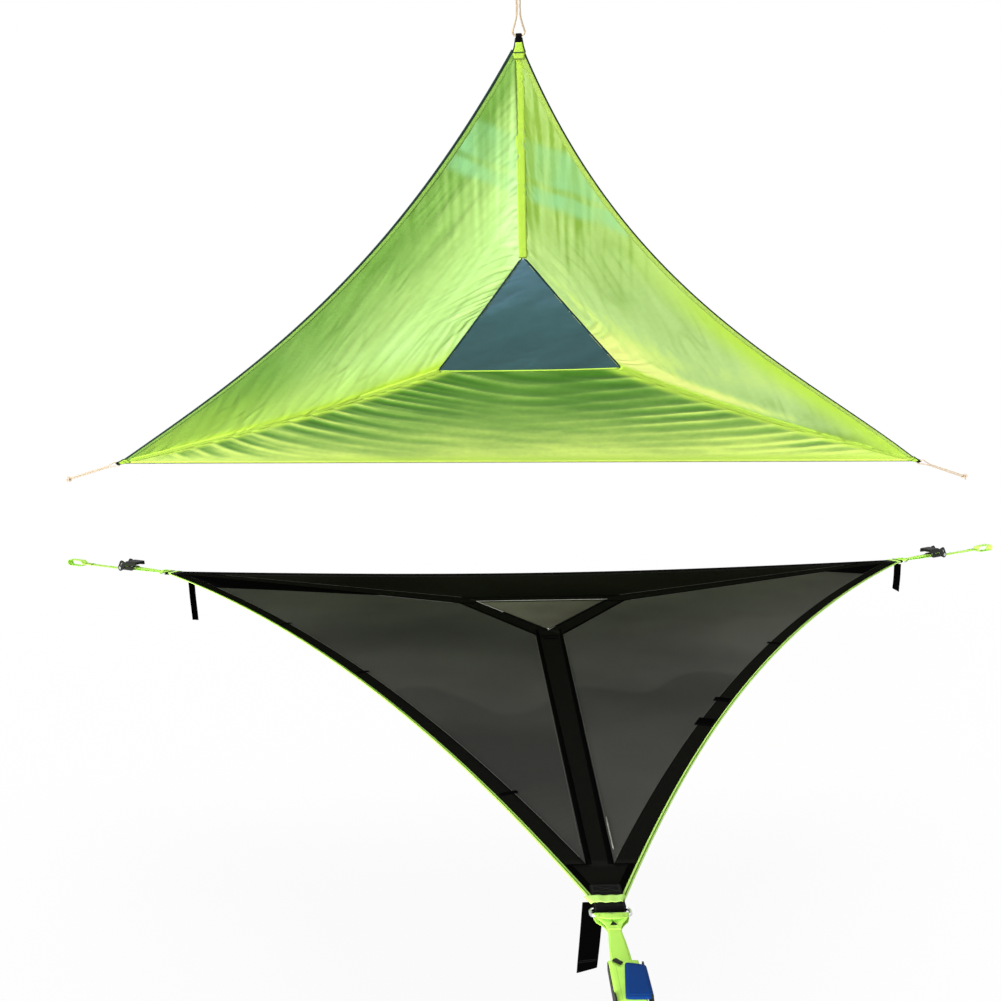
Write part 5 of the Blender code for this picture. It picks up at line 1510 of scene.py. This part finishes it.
# Canopy tabs and the tape under them
def make_tab(k, corner):
    """Black webbing looped round the cord, with a tapered lime sleeve bound in black over its sewn part."""
    place = canopy_corner(k)
    middle = CANOPY_WEBBING / 2
    gap = middle + FOLD_GAP + TAB_THICKNESS / 2
    eye = (CORD_DIAMETER + TAB_THICKNESS) / 2 + CLEAR
    upper = [(-0.020 + 0.004 * i, middle + gap) for i in range(7)]
    path = upper + arc((TAB_REACH, middle), eye, 90, -90, 14)
    path += [(x, 2 * middle - z) for x, z in reversed(upper)]
    sewn = TAB_WIDTH * 0.8
    wide = [sewn + (2 * LOOP_HALF - sewn) * min(1.0, max(0.0, (x + 0.005) / 0.050)) for x, z in path]
    band = strap(f"tab_{corner}", stations_along(upright(path), wide, place), TAB_THICKNESS, BLACK_LOOP)
    put(band, "root", f"canopy_tab_{corner}")
    marks = [(-0.023, 0.030), (-0.003, 0.038), (0.008, 0.031), (0.020, 0.025), (0.036, 0.0205)]
    parts = []
    for side in (1, -1):
        off = middle + side * (gap + 0.0022)
        fine, wide = widened([(x, 0, off) for x, w in marks], [w for x, w in marks], 0.004)
        stations = stations_along(fine, wide, place)
        parts.append(strap(f"sleeve_{corner}", stations, SLEEVE_THICKNESS, LIME_TAPE))
        row = [place @ Vector((0.001, y, off + side * 0.0008)) for y in np.linspace(-0.0175, 0.0175, 8)]
        parts.append(tube(f"sleeve_line_{corner}", row, 0.0016, DARK_PIPING))
    rim = marks[1:] + [(0.048, 0.0190)]
    radii = [0.0026, 0.0030, 0.0030, 0.0030, 0.0020]
    for side in (1, -1):
        edge = [place @ Vector((x, side * (w / 2 + 0.0005), middle)) for x, w in rim]
        parts.append(tube(f"sleeve_edge_{corner}", edge, radii, DARK_PIPING, 10))
    put(join(f"tab_sleeve_{corner}", parts), "root")


for index, corner_name in enumerate(CANOPY_CORNERS):
    make_tab(index, corner_name)


# Materials for the steel parts that keep their CAD shape
for corner_name in CORNERS:
    for part_name, stuff in (("ratchet_frame", DARK_STEEL), ("ratchet_handle", DARK_STEEL), ("spool", STEEL),
                             ("drive_pawl", STEEL), ("lock_pawl", STEEL)):
        for slot in bpy.data.objects[f"{part_name}_{corner_name}"].material_slots:
            slot.material = stuff


# Floor, backdrop and light
FLOOR_HALF, FLOOR_LOW, FLOOR_SHADE = 60.0, -1.25, 0.86
WHITE = (1, 1, 1, 1)
PALE_NEAR, PALE_FAR, PALE_LEAST = 3.0, 9.0, 0.92
WORLD_LIGHT = 0.35


def shown(tree):
    """1 where a surface is seen, also in gloss or through glass, and 0 where it only lights the object."""
    rays = add(tree, "ShaderNodeLightPath").outputs
    camera, gloss, glass = (Value(tree, rays[name])
                            for name in ("Is Camera Ray", "Is Glossy Ray", "Is Transmission Ray"))
    return camera.maths("MAXIMUM", gloss.maths("MAXIMUM", glass))


def background(name):
    """A pale floor that is seen nearly white, all white far out, with the object's shadow left on it."""
    made = Finish(name, 0.9, over="Object")
    made.shader.inputs["Base Color"].default_value = (*grey(FLOOR_SHADE), 1.0)
    distance = made.give("ShaderNodeVectorMath", {0: made.place}, "Value", operation="LENGTH")
    share = made.give("ShaderNodeMapRange", {"Value": distance, "From Min": PALE_NEAR, "From Max": PALE_FAR,
                                             "To Min": PALE_LEAST, "To Max": 1.0})
    made.cover(shown(made.tree) * share, "ShaderNodeEmission", {"Color": WHITE, "Strength": 1.0})
    return made.material


def make_stage():
    corners = [(x * FLOOR_HALF, y * FLOOR_HALF, FLOOR_LOW) for x, y in ((-1, -1), (1, -1), (1, 1), (-1, 1))]
    mesh_object("floor", corners, [(0, 1, 2, 3)], background("floor_pale"), smooth=False)
    world = bpy.data.worlds.new("studio")
    bpy.context.scene.world = world
    world.use_nodes = True
    shade = world.node_tree.nodes["Background"]
    shade.inputs["Color"].default_value = WHITE
    strength = shown(world.node_tree) * (1 - WORLD_LIGHT) + WORLD_LIGHT
    world.node_tree.links.new(strength.socket, shade.inputs["Strength"])


def sun(name, come_from, spread, strength):
    """A wide, distant studio light from a direction."""
    data = bpy.data.lights.new(name, "SUN")
    data.angle = math.radians(spread)
    data.energy = strength
    light = bpy.data.objects.new(name, data)
    light.rotation_euler = (-Vector(come_from)).to_track_quat("-Z", "Y").to_euler()
    bpy.context.scene.collection.objects.link(light)


make_stage()
sun("key", (-0.50, -0.85, 0.14), 24.0, 6.5)
sun("top", (0.10, 0.35, 0.93), 40.0, 1.4)

bpy.context.scene.view_settings.view_transform = "Standard"
